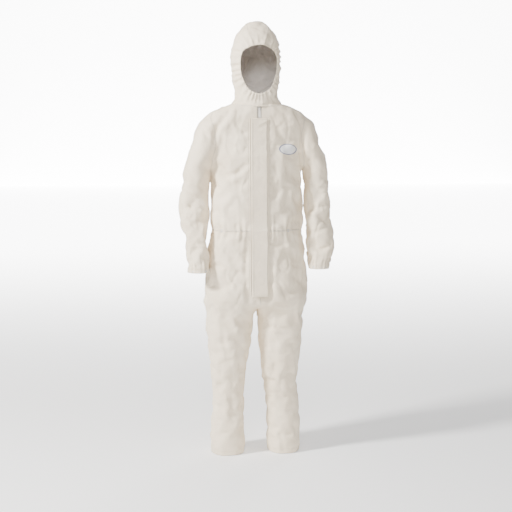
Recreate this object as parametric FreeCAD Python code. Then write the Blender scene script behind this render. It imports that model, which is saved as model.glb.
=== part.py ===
"""Hooded chemical protective coverall, standing as it does on a wearer.

Row frame, millimetres: +Z up, -Y is the wearer's front, +X the wearer's left.
The origin is the middle of the neckline, where the wearer's shoulders carry the suit.
Every cloth panel is a thin shell cut out of one smooth body form. Where a limb bends,
a fold of cloth sits between the two rigid stretches, and only that fold changes shape.
"""
import FreeCAD
import Part
import math
import os

from FreeCAD import Vector

os.makedirs("parts", exist_ok=True)

# ---------------------------------------------------------------- driving dimensions
CLOTH = 2.0             # wall that stands in for the laminated non-woven cloth
BODY_GAP = 0.4          # air between nodes that move against each other
ELASTIC = 1.2           # elastic tape thickness
ELASTIC_AIR = 0.6       # air between an elastic and the cloth round it
FAR = 3000.0            # larger than the suit, for cutting blocks

NECK_Z = 0.0
HOOD_TOP_Z = 331.0
WAIST_Z = -490.0
CROTCH_Z = -790.0
HEM_Z = -1400.0

FRONT_Y_TOP = -95.0     # front centre line at the neck
FRONT_SLOPE = 0.046     # how far the front comes forward for each millimetre down

SECTION_POINTS = 16     # points of each rounded cross-section
SECTION_STEP = 26.0     # longest stretch of height between two sections of a loft
TORSO_POWER = 2.35      # 2 is an ellipse, more is squarer
LIMB_POWER = 2.1

FACE_TOP_Z = 230.0
FACE_LOW_Z = 43.0
FACE_HALF_WIDTH = 71.0
FACE_HEM = 9.0
HOOD_NECK_FRONT_Z = 30.0   # top of the hood's folding neck, front and back
HOOD_NECK_BACK_Z = 66.0
CROWN_HALF_WIDTH = 40.0

ELBOW_Z = -335.0
KNEE_Z = -985.0

HIP_FOLD_TOP_Z = -765.0
HIP_FOLD_LOW_Z = -850.0
ELBOW_FOLD_FRONT, ELBOW_FOLD_BACK = 98.0, 9.0   # half height of the fold
KNEE_FOLD_FRONT, KNEE_FOLD_BACK = 12.0, 108.0

CUFF_HEM = 16.0
ANKLE_HEM = 18.0

# ---------------------------------------------------------------- cross-sections
# torso: height, half width, back of the section (its front is on the straight front line)
TORSO = [
    (-790, 204, 116), (-720, 205, 126), (-640, 202, 128), (-580, 195, 122), (-525, 185, 112),
    (-490, 177, 104), (-455, 182, 110), (-400, 182, 114), (-300, 181, 122), (-240, 180, 124),
    (-180, 184, 121), (-120, 192, 114), (-75, 204, 104), (-50, 205, 96), (-34, 193, 88),
    (-20, 168, 80), (-9, 130, 74), (0, 90, 70),
]
# hood: height, half width, front, back
HOOD = [
    (0, 90, -95, 70), (20, 87, -96, 72), (45, 84, -98, 78), (70, 87, -101, 90),
    (100, 91, -104, 108), (140, 95, -106, 122), (180, 97, -106, 128), (215, 95, -102, 126),
    (250, 87, -92, 116), (276, 77, -77, 101), (300, 58, -53, 77), (317, 41, -32, 54),
    (327, 26, -12, 34), (331, 13, 1, 20),
]
# sleeves: height, distance of the centre from the middle, half width, centre in Y, half depth
SLEEVE = {
    "right": [
        (-44, 165, 40, 0, 50), (-70, 174, 54, 0, 62), (-128, 190, 59, 0, 73),
        (-176, 206, 60, 0, 75), (-236, 228, 55, 0, 70), (-300, 240, 54, 1, 65),
        (-376, 247, 55, -2, 62), (-450, 246, 54, -16, 60), (-520, 242, 48, -34, 55),
        (-580, 239, 46, -51, 51), (-622, 236, 41, -64, 44), (-636, 235, 43, -68, 45),
        (-652, 236, 45, -72, 47),
    ],
    "left": [
        (-44, 165, 40, 0, 50), (-70, 177, 55, 0, 62), (-128, 194, 58, 0, 73),
        (-176, 212, 58, 0, 75), (-236, 235, 51, 0, 70), (-300, 243, 50, 1, 65),
        (-376, 247, 50, -2, 62), (-450, 250, 53, -14, 62), (-530, 254, 55, -30, 60),
        (-584, 252, 52, -42, 55), (-618, 247, 44, -50, 46), (-632, 245, 42, -53, 43),
        (-646, 245, 43, -56, 44),
    ],
}
# trouser legs: height, distance of the centre from the middle, half width, centre in Y, half depth
LEG = {
    "right": [
        (-740, 106, 98, -6, 114), (-800, 108, 98, -6, 112), (-896, 112, 90, -5, 102),
        (-985, 113, 81, -4, 92), (-1060, 114, 72, -1, 85), (-1112, 114, 66, 2, 80),
        (-1184, 114, 63, 4, 77), (-1296, 117, 68, 4, 75), (-1376, 117, 70, 3, 74),
        (-1400, 117, 67, 3, 71),
    ],
    "left": [
        (-740, 104, 98, -6, 114), (-800, 103, 98, -6, 112), (-896, 98, 88, -5, 102),
        (-985, 97, 81, -4, 92), (-1060, 96, 73, -1, 85), (-1112, 98, 68, 2, 80),
        (-1184, 107, 67, 4, 77), (-1296, 113, 66, 4, 75), (-1376, 113, 68, 3, 74),
        (-1400, 113, 65, 3, 71),
    ],
}
SIDE = {"right": -1, "left": 1}

# ---------------------------------------------------------------- zip and storm flap
CHANNEL_HALF = 10.0     # half the gap between the front panels, with the zip at its bottom
FACING = 1.6            # folded panel edge that goes down to the zip tape
TAPE_FACE, TAPE = -6.0, 1.0
TAPE_HALF = 16.0
COIL_IN, COIL_OUT, COIL_DEEP, COIL_HIGH = 0.8, 3.0, -8.0, -5.0
ZIP_TOP, ZIP_END = 5.0, 742.0           # along the zip, down from the neckline
SLIDER_TOP, SLIDER_LONG = 9.0, 14.0
SLIDER_HALF = 4.8
TAB_LONG, TAB_HALF, TAB_THICK = 34.0, 4.0, 1.4
TAB_PIN_R, TAB_HOLE_R = 0.9, 1.0
TAB_PIN_OUT, TAB_PIN_DOWN = -0.8, 16.0  # the pin's place on the slider
FLAP_TOP, FLAP_END = 52.0, 748.0
FLAP_HINGE_X, FLAP_FREE_X = -34.0, 30.0
FLAP_IN, FLAP_THICK = 2.2, 1.2
GLUE_X0, GLUE_X1, GLUE = 16.0, 26.0, 0.6


# ---------------------------------------------------------------- small helpers
def front_y(z):
    """Y of the straight front centre line at a height."""
    return FRONT_Y_TOP + FRONT_SLOPE * z


def ring(cx, cy, z, half_x, half_y, power):
    """A closed rounded outline in a level plane."""
    points = []
    for k in range(SECTION_POINTS):
        a = 2 * math.pi * (k + 0.5) / SECTION_POINTS
        c, s = math.cos(a), math.sin(a)
        points.append(Vector(cx + half_x * math.copysign(abs(c) ** (2 / power), c),
                             cy + half_y * math.copysign(abs(s) ** (2 / power), s), z))
    curve = Part.BSplineCurve()
    curve.interpolate(points, PeriodicFlag=True, Parameters=list(range(SECTION_POINTS + 1)))
    return Part.Wire([curve.toShape()])


def column_slopes(heights, values):
    """Slopes of a monotone cubic through the values, so that it can't overshoot them."""
    steps = [b - a for a, b in zip(heights, heights[1:])]
    rises = [(b - a) / h for a, b, h in zip(values, values[1:], steps)]
    slopes = [rises[0]]
    for (h0, h1), (d0, d1) in zip(zip(steps, steps[1:]), zip(rises, rises[1:])):
        w0, w1 = 2 * h1 + h0, h1 + 2 * h0
        slopes.append(0.0 if d0 * d1 <= 0 else (w0 + w1) / (w0 / d0 + w1 / d1))
    return slopes + [rises[-1]]


def smooth_sections(sections):
    """The sections with more put between them, none further apart than SECTION_STEP."""
    sections = sorted(sections)
    heights = [s[0] for s in sections]
    columns = list(zip(*sections))[1:]
    slopes = [column_slopes(heights, c) for c in columns]
    out = []
    for i, (z0, z1) in enumerate(zip(heights, heights[1:])):
        h = z1 - z0
        parts = math.ceil(h / SECTION_STEP)
        for k in range(parts):
            t = k / parts
            row = [z0 + t * h]
            for values, m in zip(columns, slopes):
                row.append((2 * t ** 3 - 3 * t ** 2 + 1) * values[i] + (t ** 3 - 2 * t ** 2 + t) * h * m[i]
                           + (3 * t ** 2 - 2 * t ** 3) * values[i + 1] + (t ** 3 - t ** 2) * h * m[i + 1])
            out.append(tuple(row))
    return out + [sections[-1]]


def loft(sections, power, grow=0.0, past=0.0):
    """A closed solid through level sections (z, cx, cy, half_x, half_y), grown by a margin.
    past runs both ends on by that much, so that a cut goes right through."""
    sections = smooth_sections(sections)
    if past:
        sections = ([(sections[0][0] - past, *sections[0][1:])] + sections
                    + [(sections[-1][0] + past, *sections[-1][1:])])
    wires = [ring(cx, cy, z, hx + grow, hy + grow, power) for z, cx, cy, hx, hy in sections]
    return Part.makeLoft(wires, True, False)


def torso_sections():
    """The torso's sections, run a little past the neckline, where the panels are cut level."""
    rows = [(z, 0, (back + front_y(z)) / 2, half, (back - front_y(z)) / 2)
            for z, half, back in TORSO]
    return rows + [(NECK_Z + 8, *rows[-1][1:])]


def hood_sections():
    return [(z, 0, (back + front) / 2, half, (back - front) / 2) for z, half, front, back in HOOD]


def limb_sections(table, side):
    return [(z, SIDE[side] * cx, cy, hx, hy) for z, cx, hx, cy, hy in table[side]]


def block(x0, x1, y0, y1, z0, z1):
    return Part.makeBox(x1 - x0, y1 - y0, z1 - z0, Vector(x0, y0, z0))


def level(z_low, z_high):
    """Everything between two heights."""
    return block(-FAR, FAR, -FAR, FAR, z_low, z_high)


def half_space(side):
    """Everything on one side of the middle plane."""
    return block(0, FAR, -FAR, FAR, -FAR, FAR) if side == "left" else \
        block(-FAR, 0, -FAR, FAR, -FAR, FAR)


def front_half():
    return block(-FAR, FAR, -FAR, 0, -FAR, FAR)


def back_half():
    return block(-FAR, FAR, 0, FAR, -FAR, FAR)


def above_slope(axis, a, za, b, zb):
    """Everything above the plane through (a, za) and (b, zb), where a and b are X or Y."""
    slope = (zb - za) / (b - a)
    corners = [(-FAR, za - slope * (a + FAR)), (FAR, za + slope * (FAR - a)), (FAR, 3 * FAR),
               (-FAR, 3 * FAR)]
    if axis == "y":
        points = [Vector(-FAR, u, z) for u, z in corners]
        along = Vector(2 * FAR, 0, 0)
    else:
        points = [Vector(u, -FAR, z) for u, z in corners]
        along = Vector(0, 2 * FAR, 0)
    return Part.Face(Part.makePolygon(points + points[:1])).extrude(along)


def zip_block(x0, x1, out0, out1, down0, down1):
    """A block in the zip's own frame: out is outward from the front line, down is along it."""
    box = block(x0, x1, -out1, -out0, -down1, -down0)
    box.rotate(Vector(0, 0, 0), Vector(1, 0, 0), -math.degrees(math.atan(FRONT_SLOPE)))
    box.translate(Vector(0, FRONT_Y_TOP, 0))
    return box


def zip_point(x, out, down):
    """A point of the zip's own frame, in the row frame."""
    tilt = math.atan(FRONT_SLOPE)
    return Vector(x, FRONT_Y_TOP - out * math.cos(tilt) - down * math.sin(tilt),
                  out * math.sin(tilt) - down * math.cos(tilt))


def solid_only(shape):
    """The shape's solids, without scraps."""
    solids = [s for s in shape.Solids if s.Volume > 5.0]
    return solids[0] if len(solids) == 1 else Part.Compound(solids)


def write(name, shape):
    shape = solid_only(shape)
    shape.exportStep(f"parts/{name}.step")
    print(f"{name:26s} solids {len(shape.Solids)}  volume {shape.Volume / 1000:9.2f} cm3"
          f"  valid {shape.isValid()}")


# ---------------------------------------------------------------- body forms
torso_outer = loft(torso_sections(), TORSO_POWER)
torso_wide = loft(torso_sections(), TORSO_POWER, grow=1.2)
torso_inner = loft([s if s[0] > CROTCH_Z else (s[0] + CLOTH, *s[1:]) for s in torso_sections()],
                   TORSO_POWER, grow=-CLOTH)
hood_outer = loft(hood_sections(), TORSO_POWER)
hood_inner = loft([s if s[0] < HOOD_TOP_Z else (s[0] - CLOTH, *s[1:]) for s in hood_sections()],
                  TORSO_POWER, grow=-CLOTH)
sleeve_outer = {s: loft(limb_sections(SLEEVE, s), LIMB_POWER) for s in SIDE}
sleeve_inner = {}
leg_outer = {s: loft(limb_sections(LEG, s), LIMB_POWER) for s in SIDE}
leg_inner = {}
for s in SIDE:
    arm = limb_sections(SLEEVE, s)
    arm[0] = (arm[0][0] - CLOTH, *arm[0][1:])
    arm.append((arm[-1][0] - 4, *arm[-1][1:]))
    sleeve_inner[s] = loft(arm, LIMB_POWER, grow=-CLOTH)
    leg_inner[s] = loft(limb_sections(LEG, s), LIMB_POWER, grow=-CLOTH, past=4)
torso_shell = torso_outer.cut([torso_inner, sleeve_inner["left"], sleeve_inner["right"]])


# ---------------------------------------------------------------- upper body panels
def upper_body():
    channel = zip_block(-CHANNEL_HALF, CHANNEL_HALF, -40, 40, -20, ZIP_END)
    jacket = torso_shell.common(level(WAIST_Z, NECK_Z))
    trousers = torso_shell.common(level(HIP_FOLD_TOP_Z, WAIST_Z))
    write("back_panel", jacket.common(back_half()))
    write("chest_patch", chest_patch())
    for side, sign in SIDE.items():
        x0, x1 = sorted((sign * CHANNEL_HALF, sign * (CHANNEL_HALF + FACING)))
        facing = zip_block(x0, x1, TAPE_FACE, -0.6, ZIP_TOP, ZIP_END)
        half = half_space(side)
        front = jacket.common(front_half()).common(half).cut(channel)
        write(f"front_panel_{side}", front.fuse(facing.common(level(WAIST_Z, NECK_Z))))
        front = trousers.common(front_half()).common(half).cut(channel)
        write(f"trouser_front_{side}", front.fuse(facing.common(level(HIP_FOLD_TOP_Z, WAIST_Z))))
        write(f"trouser_seat_{side}", trousers.common(back_half()).common(half))


def chest_patch():
    """The oval printed patch on the wearer's left chest: a thin skin on the cloth."""
    x, z, half_x, half_z, thick = 113.0, -174.0, 37.0, 20.0, 0.5
    oval = Part.Face(Part.Wire([Part.Ellipse(Vector(0, 0, 0), half_x, half_z).toShape()]))
    oval.rotate(Vector(0, 0, 0), Vector(1, 0, 0), 90)
    oval.translate(Vector(x, 0, z))
    bar = oval.extrude(Vector(0, -400, 0))
    return loft(torso_sections(), TORSO_POWER, grow=thick + 0.05).cut(
        loft(torso_sections(), TORSO_POWER, grow=0.05)).common(bar)


def inner_band(sections, power, z_low, z_high):
    """A ring of elastic just inside the cloth, between two heights."""
    out = loft(sections, power, grow=-CLOTH - ELASTIC_AIR, past=1)
    core = loft(sections, power, grow=-CLOTH - ELASTIC_AIR - ELASTIC, past=3)
    return out.cut(core).common(level(z_low, z_high))


def waist_elastic():
    band = inner_band(torso_sections(), TORSO_POWER, WAIST_Z - 6, WAIST_Z + 6)
    clear = TAPE_HALF + 2
    return band.cut(block(-clear, clear, -FAR, 0, -FAR, FAR))


def neck_tab():
    """Blank size tab sewn to the back panel under the neckline, inside."""
    return block(-18, 18, 60.0, 60.6, -40, -8)


# ---------------------------------------------------------------- hood
def face_outline(grow):
    """The face opening's outline, seen from the front, pushed through the hood's front."""
    top, low, half = FACE_TOP_Z + grow, FACE_LOW_Z - grow, FACE_HALF_WIDTH + grow
    height = top - low
    right = [(0, low), (half * 0.56, low + height * 0.09), (half * 0.9, low + height * 0.33),
             (half, low + height * 0.62), (half * 0.84, low + height * 0.88), (0, top)]
    points = right + [(-x, z) for x, z in reversed(right[1:-1])]
    curve = Part.BSplineCurve()
    curve.interpolate([Vector(x, 0, z) for x, z in points], PeriodicFlag=True)
    return Part.Face(Part.Wire([curve.toShape()])).extrude(Vector(0, -FAR, 0))


def hood():
    shell = hood_outer.cut(hood_inner)
    opening, round_it = face_outline(0), face_outline(FACE_HEM)
    bend = above_slope("y", FRONT_Y_TOP, HOOD_NECK_FRONT_Z, 80, HOOD_NECK_BACK_Z)
    gap = above_slope("y", FRONT_Y_TOP, HOOD_NECK_FRONT_Z + BODY_GAP, 80,
                      HOOD_NECK_BACK_Z + BODY_GAP)
    lifted = level(NECK_Z + BODY_GAP, FAR)
    write("hood_neck", shell.common(lifted).cut(bend))
    upper = shell.common(gap)
    write("face_hem", upper.common(round_it).cut(opening))
    inner = loft(hood_sections(), TORSO_POWER, grow=-CLOTH - ELASTIC_AIR).cut(
        loft(hood_sections(), TORSO_POWER, grow=-CLOTH - ELASTIC_AIR - ELASTIC))
    write("face_elastic", inner.common(face_outline(FACE_HEM - 2)).cut(face_outline(2)).common(gap))
    cloth = upper.cut(round_it)
    crown = block(-CROWN_HALF_WIDTH, CROWN_HALF_WIDTH, -FAR, FAR, -FAR, FAR)
    write("hood_crown", cloth.common(crown).cut(block(-FAR, FAR, -FAR, 0, -FAR, FACE_LOW_Z + 40)))
    sides = cloth.cut(crown)
    for side in SIDE:
        write(f"hood_side_{side}", sides.common(half_space(side)))


# ---------------------------------------------------------------- sleeves
def sleeves():
    for side, sign in SIDE.items():
        shell = sleeve_outer[side].cut(sleeve_inner[side])
        over_head = above_slope("x", sign * 243, -115, sign * 180, -250)
        under_head = above_slope("x", sign * 243, -115 - BODY_GAP, sign * 180, -250 - BODY_GAP)
        write(f"sleeve_head_{side}", shell.cut(torso_outer).common(over_head))
        front, back = ELBOW_Z + ELBOW_FOLD_FRONT, ELBOW_Z + ELBOW_FOLD_BACK
        over_fold = above_slope("y", -62, front, 62, back)
        over_fold_gap = above_slope("y", -62, front + BODY_GAP, 62, back + BODY_GAP)
        front, back = ELBOW_Z - ELBOW_FOLD_FRONT, ELBOW_Z - ELBOW_FOLD_BACK
        over_fore = above_slope("y", -62, front, 62, back)
        over_fore_gap = above_slope("y", -62, front - BODY_GAP, 62, back - BODY_GAP)
        free = shell.cut(torso_wide)
        write(f"sleeve_upper_{side}", free.cut(under_head).common(over_fold_gap))
        write(f"sleeve_elbow_{side}", free.cut(over_fold).common(over_fore))
        hem_z = limb_sections(SLEEVE, side)[-1][0]
        cuff = level(hem_z, hem_z + CUFF_HEM)
        fore = shell.cut(over_fore_gap)
        write(f"sleeve_forearm_{side}", fore.cut(cuff))
        write(f"cuff_hem_{side}", fore.common(cuff))
        write(f"cuff_elastic_{side}", inner_band(limb_sections(SLEEVE, side), LIMB_POWER,
                                                 hem_z + 3, hem_z + CUFF_HEM - 3))


# ---------------------------------------------------------------- trouser legs
def trouser_legs():
    for side in SIDE:
        form = torso_outer.fuse(leg_outer[side])
        fold = form.cut([torso_inner, leg_inner[side]]).common(
            level(HIP_FOLD_LOW_Z, HIP_FOLD_TOP_Z)).common(half_space(side))
        write(f"thigh_fold_{side}", fold)
        shell = leg_outer[side].cut(leg_inner[side])
        front, back = KNEE_Z + KNEE_FOLD_FRONT, KNEE_Z + KNEE_FOLD_BACK
        over_fold = above_slope("y", -90, front, 88, back)
        over_fold_gap = above_slope("y", -90, front + BODY_GAP, 88, back + BODY_GAP)
        front, back = KNEE_Z - KNEE_FOLD_FRONT, KNEE_Z - KNEE_FOLD_BACK
        over_shin = above_slope("y", -90, front, 88, back)
        over_shin_gap = above_slope("y", -90, front - BODY_GAP, 88, back - BODY_GAP)
        thigh = shell.common(level(-FAR, HIP_FOLD_LOW_Z - BODY_GAP)).common(over_fold_gap)
        write(f"knee_fold_{side}", shell.cut(over_fold).common(over_shin))
        hem = level(HEM_Z, HEM_Z + ANKLE_HEM)
        shin = shell.cut(over_shin_gap)
        write(f"thigh_{side}", thigh)
        write(f"shin_{side}", shin.cut(hem))
        write(f"ankle_hem_{side}", shin.common(hem))
        write(f"ankle_elastic_{side}", inner_band(limb_sections(LEG, side), LIMB_POWER,
                                                  HEM_Z + 3, HEM_Z + ANKLE_HEM - 3))


# ---------------------------------------------------------------- zip, slider, tab and flap
def zip_fastener():
    for side, sign in SIDE.items():
        x0, x1 = sorted((sign * COIL_OUT, sign * TAPE_HALF))
        write(f"zip_tape_{side}", zip_block(x0, x1, TAPE_FACE - TAPE, TAPE_FACE, ZIP_TOP, ZIP_END))
        x0, x1 = sorted((sign * COIL_IN, sign * COIL_OUT))
        write(f"zip_coil_{side}", zip_block(x0, x1, COIL_DEEP, COIL_HIGH, ZIP_TOP, ZIP_END - 8))
    stops = [zip_block(*sorted((sign * COIL_IN, sign * COIL_OUT)), COIL_HIGH + 0.05,
                       COIL_HIGH + 1.0, ZIP_TOP, ZIP_TOP + 3) for sign in (-1, 1)]
    write("zip_top_stops", Part.Compound(stops))
    write("zip_bottom_stop", zip_block(-COIL_OUT, COIL_OUT, COIL_DEEP, COIL_HIGH,
                                       ZIP_END - 7.9, ZIP_END - 2))


def slider():
    """Two plates joined by the divider that runs between the coils, with a bail for the tab."""
    top, end = SLIDER_TOP, SLIDER_TOP + SLIDER_LONG
    half = SLIDER_HALF
    plate = zip_block(-half, half, -4.6, -3.0, top, end)
    plate = plate.fuse(zip_block(-half, half, -10.0, -8.4, top, end))
    plate = plate.fuse(zip_block(-0.5, 0.5, -8.6, -4.4, top, top + 6))
    for sign in (-1, 1):
        x0, x1 = sorted((sign * 3.5, sign * half))
        plate = plate.fuse(zip_block(x0, x1, -5.6, -4.4, top, end))
        plate = plate.fuse(zip_block(x0, x1, -8.6, -7.4, top, end))
        x0, x1 = sorted((sign * 2.6, sign * 3.8))
        plate = plate.fuse(zip_block(x0, x1, -3.2, TAB_PIN_OUT + 1.2, TAB_PIN_DOWN - 2,
                                     TAB_PIN_DOWN + 2))
    pin = Part.makeCylinder(TAB_PIN_R, 5.6, zip_point(-2.8, TAB_PIN_OUT, TAB_PIN_DOWN),
                            Vector(1, 0, 0))
    write("zip_slider", plate.fuse(pin).removeSplitter())


def pull_tab():
    """A moulded tab: an eye round the bail's pin, a neck and a wide finger grip."""
    eye = Part.makeCylinder(TAB_HOLE_R + 1.0, 4.8, zip_point(-2.4, TAB_PIN_OUT, TAB_PIN_DOWN),
                            Vector(1, 0, 0))
    hole = Part.makeCylinder(TAB_HOLE_R, 8, zip_point(-4, TAB_PIN_OUT, TAB_PIN_DOWN),
                             Vector(1, 0, 0))
    low = TAB_PIN_OUT - TAB_THICK / 2 + 0.3
    neck = zip_block(-2.4, 2.4, low, low + TAB_THICK, TAB_PIN_DOWN + 1.0, TAB_PIN_DOWN + 9)
    grip = zip_block(-TAB_HALF, TAB_HALF, low, low + TAB_THICK, TAB_PIN_DOWN + 8,
                     TAB_PIN_DOWN + TAB_LONG)
    corners = [e for e in grip.Edges
               if abs(e.Length - TAB_THICK) < 1e-6 and e.CenterOfMass.z <
               zip_point(0, 0, TAB_PIN_DOWN + TAB_LONG - 2).z]
    grip = grip.makeFillet(2.5, corners)
    write("pull_tab", eye.fuse([neck, grip]).cut(hole).removeSplitter())


def storm_flap():
    flap = zip_block(FLAP_HINGE_X, FLAP_FREE_X, FLAP_IN, FLAP_IN + FLAP_THICK, FLAP_TOP, FLAP_END)
    write("storm_flap", flap)
    write("flap_adhesive", zip_block(GLUE_X0, GLUE_X1, FLAP_IN - GLUE, FLAP_IN, FLAP_TOP + 8,
                                     FLAP_END - 8))


upper_body()
write("waist_elastic", waist_elastic())
write("neck_tab", neck_tab())
hood()
sleeves()
trouser_legs()
zip_fastener()
slider()
pull_tab()
storm_flap()
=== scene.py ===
"""Visual model of the hooded protective coverall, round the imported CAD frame. Metres, shared frame."""
import heapq
import math

import bmesh
import bpy
import numpy as np
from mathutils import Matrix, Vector
from mathutils.bvhtree import BVHTree
from mathutils.kdtree import KDTree


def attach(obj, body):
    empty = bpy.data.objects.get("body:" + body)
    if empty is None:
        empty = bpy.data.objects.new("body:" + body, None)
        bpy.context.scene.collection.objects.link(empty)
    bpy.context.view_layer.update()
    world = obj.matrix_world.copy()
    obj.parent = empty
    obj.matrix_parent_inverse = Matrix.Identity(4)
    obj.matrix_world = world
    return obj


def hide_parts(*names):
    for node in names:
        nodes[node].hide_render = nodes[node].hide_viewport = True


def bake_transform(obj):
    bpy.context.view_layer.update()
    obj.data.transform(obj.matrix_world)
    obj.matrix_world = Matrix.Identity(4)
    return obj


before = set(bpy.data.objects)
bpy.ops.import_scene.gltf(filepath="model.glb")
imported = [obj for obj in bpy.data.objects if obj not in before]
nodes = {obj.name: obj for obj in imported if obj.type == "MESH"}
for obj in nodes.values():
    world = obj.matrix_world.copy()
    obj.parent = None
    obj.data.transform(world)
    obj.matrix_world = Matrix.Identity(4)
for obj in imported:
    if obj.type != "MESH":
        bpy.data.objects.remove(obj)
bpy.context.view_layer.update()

MM = 0.001

# ------------------------------------------------------------------ body forms (mm)
FRONT_Y_TOP, FRONT_SLOPE = -95.0, 0.046     # the front's y at the neckline, and its slope
TORSO_POWER, LIMB_POWER = 2.35, 2.1         # superellipse powers of the sections
WAIST_Z, CROTCH_Z, HEM_Z = -490.0, -790.0, -1400.0
SLEEVE_TOP_Z, LEG_TOP_Z = -44, -740         # where sleeves and legs start, within the torso
CUFF_Z = {"right": -652.0, "left": -646.0}
ZIP_LOW_Z = -742.0                          # lower end of the gap between the front panels
CHANNEL_HALF = 10.0                         # half that gap's width
SIDE = {"right": -1, "left": 1}             # the sign of x on each side
RUN_ON = 30                                 # tubes run this far past their open ends, to be cut
ROW_STEP = 10                               # between a body tube's rows
BODY_VOXEL, HOOD_VOXEL = 0.0105, 0.0072     # the skins' mesh size, in metres
CLOTH_FRAMES = 30

# torso rows: z, half width, back y; hood rows: z, half width, front y, back y;
# sleeve and leg rows: z, centre x, half width, centre y, half depth
TORSO = [
    (-790, 204, 116), (-720, 205, 126), (-640, 202, 128), (-580, 195, 122), (-525, 185, 112),
    (-490, 177, 104), (-455, 182, 110), (-400, 182, 114), (-300, 181, 122), (-240, 180, 124),
    (-180, 184, 121), (-120, 192, 114), (-75, 204, 104), (-50, 205, 96), (-34, 193, 88),
    (-20, 168, 80), (-9, 130, 74), (0, 90, 70),
]
HOOD = [
    (0, 90, -95, 70), (20, 87, -96, 72), (45, 84, -98, 78), (70, 87, -101, 90),
    (100, 91, -104, 108), (140, 95, -106, 122), (180, 97, -106, 128), (215, 95, -102, 126),
    (250, 87, -92, 116), (276, 77, -77, 101), (300, 58, -53, 77), (317, 41, -32, 54),
    (327, 26, -12, 34), (331, 13, 1, 20),
]
SLEEVE = {
    "right": [
        (-44, 165, 40, 0, 50), (-70, 174, 54, 0, 62), (-128, 190, 59, 0, 73),
        (-176, 206, 60, 0, 75), (-236, 228, 55, 0, 70), (-300, 240, 54, 1, 65),
        (-376, 247, 55, -2, 62), (-450, 246, 54, -16, 60), (-520, 242, 48, -34, 55),
        (-580, 239, 46, -51, 51), (-622, 236, 41, -64, 44), (-636, 235, 43, -68, 45),
        (-652, 236, 45, -72, 47),
    ],
    "left": [
        (-44, 165, 40, 0, 50), (-70, 177, 55, 0, 62), (-128, 194, 58, 0, 73),
        (-176, 212, 58, 0, 75), (-236, 235, 51, 0, 70), (-300, 243, 50, 1, 65),
        (-376, 247, 50, -2, 62), (-450, 250, 53, -14, 62), (-530, 254, 55, -30, 60),
        (-584, 252, 52, -42, 55), (-618, 247, 44, -50, 46), (-632, 245, 42, -53, 43),
        (-646, 245, 43, -56, 44),
    ],
}
LEG = {
    "right": [
        (-740, 106, 98, -6, 114), (-800, 108, 98, -6, 112), (-896, 112, 90, -5, 102),
        (-985, 113, 81, -4, 92), (-1060, 114, 72, -1, 85), (-1112, 114, 66, 2, 80),
        (-1184, 114, 63, 4, 77), (-1296, 117, 68, 4, 75), (-1376, 117, 70, 3, 74),
        (-1400, 117, 67, 3, 71),
    ],
    "left": [
        (-740, 104, 98, -6, 114), (-800, 103, 98, -6, 112), (-896, 98, 88, -5, 102),
        (-985, 97, 81, -4, 92), (-1060, 96, 73, -1, 85), (-1112, 98, 68, 2, 80),
        (-1184, 107, 67, 4, 77), (-1296, 113, 66, 4, 75), (-1376, 113, 68, 3, 74),
        (-1400, 113, 65, 3, 71),
    ],
}


def smoothstep(x, a, b):
    t = np.clip((np.asarray(x, float) - a) / (b - a), 0, 1)
    return t * t * (3 - 2 * t)


def column_slopes(z, v):
    """Slopes of a monotone cubic through the values."""
    h = np.diff(z)
    d = np.diff(v) / h
    m = np.zeros(len(z))
    m[0], m[-1] = d[0], d[-1]
    for i in range(1, len(z) - 1):
        if d[i - 1] * d[i] > 0:
            w0, w1 = 2 * h[i] + h[i - 1], h[i] + 2 * h[i - 1]
            m[i] = (w0 + w1) / (w0 / d[i - 1] + w1 / d[i])
    return m


class Form:
    """A tube's section at any height: centre x, centre y, half x, half y, by monotone cubics."""

    def __init__(self, rows, power):
        rows = np.array(sorted(rows), float)
        self.z = rows[:, 0]
        self.v = rows[:, 1:]
        self.m = np.array([column_slopes(self.z, c) for c in self.v.T]).T
        self.power = power

    def at(self, z):
        z = np.clip(np.asarray(z, float), self.z[0], self.z[-1])
        i = np.clip(np.searchsorted(self.z, z, side="right") - 1, 0, len(self.z) - 2)
        h = self.z[i + 1] - self.z[i]
        t = ((z - self.z[i]) / h)[..., None]
        h = h[..., None]
        return ((2 * t**3 - 3 * t**2 + 1) * self.v[i] + (t**3 - 2 * t**2 + t) * h * self.m[i]
                + (3 * t**2 - 2 * t**3) * self.v[i + 1] + (t**3 - t**2) * h * self.m[i + 1])

    def point(self, angle, z):
        """Places on the tube, by angle about its centre and height."""
        cx, cy, hx, hy = np.moveaxis(self.at(z), -1, 0)
        c, s = np.cos(angle), np.sin(angle)
        k = 2 / self.power
        return np.stack([cx + hx * np.sign(c) * np.abs(c) ** k,
                         cy + hy * np.sign(s) * np.abs(s) ** k,
                         np.broadcast_to(z, cx.shape)], -1)


def front_y(z):
    return FRONT_Y_TOP + FRONT_SLOPE * z


torso_form = Form([(z, 0, (b + front_y(z)) / 2, w, (b - front_y(z)) / 2) for z, w, b in TORSO],
                  TORSO_POWER)
hood_form = Form([(z, 0, (b + f) / 2, w, (b - f) / 2) for z, w, f, b in HOOD], TORSO_POWER)
sleeve_form = {s: Form([(z, SIDE[s] * cx, cy, hx, hy) for z, cx, hx, cy, hy in SLEEVE[s]],
                       LIMB_POWER) for s in SIDE}
leg_form = {s: Form([(z, SIDE[s] * cx, cy, hx, hy) for z, cx, hx, cy, hy in LEG[s]],
                    LIMB_POWER) for s in SIDE}


# ------------------------------------------------------------------ mesh helpers
def new_object(name, verts, faces):
    mesh = bpy.data.meshes.new(name)
    mesh.from_pydata([tuple(v) for v in verts], [], [tuple(f) for f in faces])
    mesh.update()
    obj = bpy.data.objects.new(name, mesh)
    bpy.context.scene.collection.objects.link(obj)
    return obj


def coords(obj):
    co = np.empty(len(obj.data.vertices) * 3)
    obj.data.vertices.foreach_get("co", co)
    return co.reshape(-1, 3)


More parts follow.
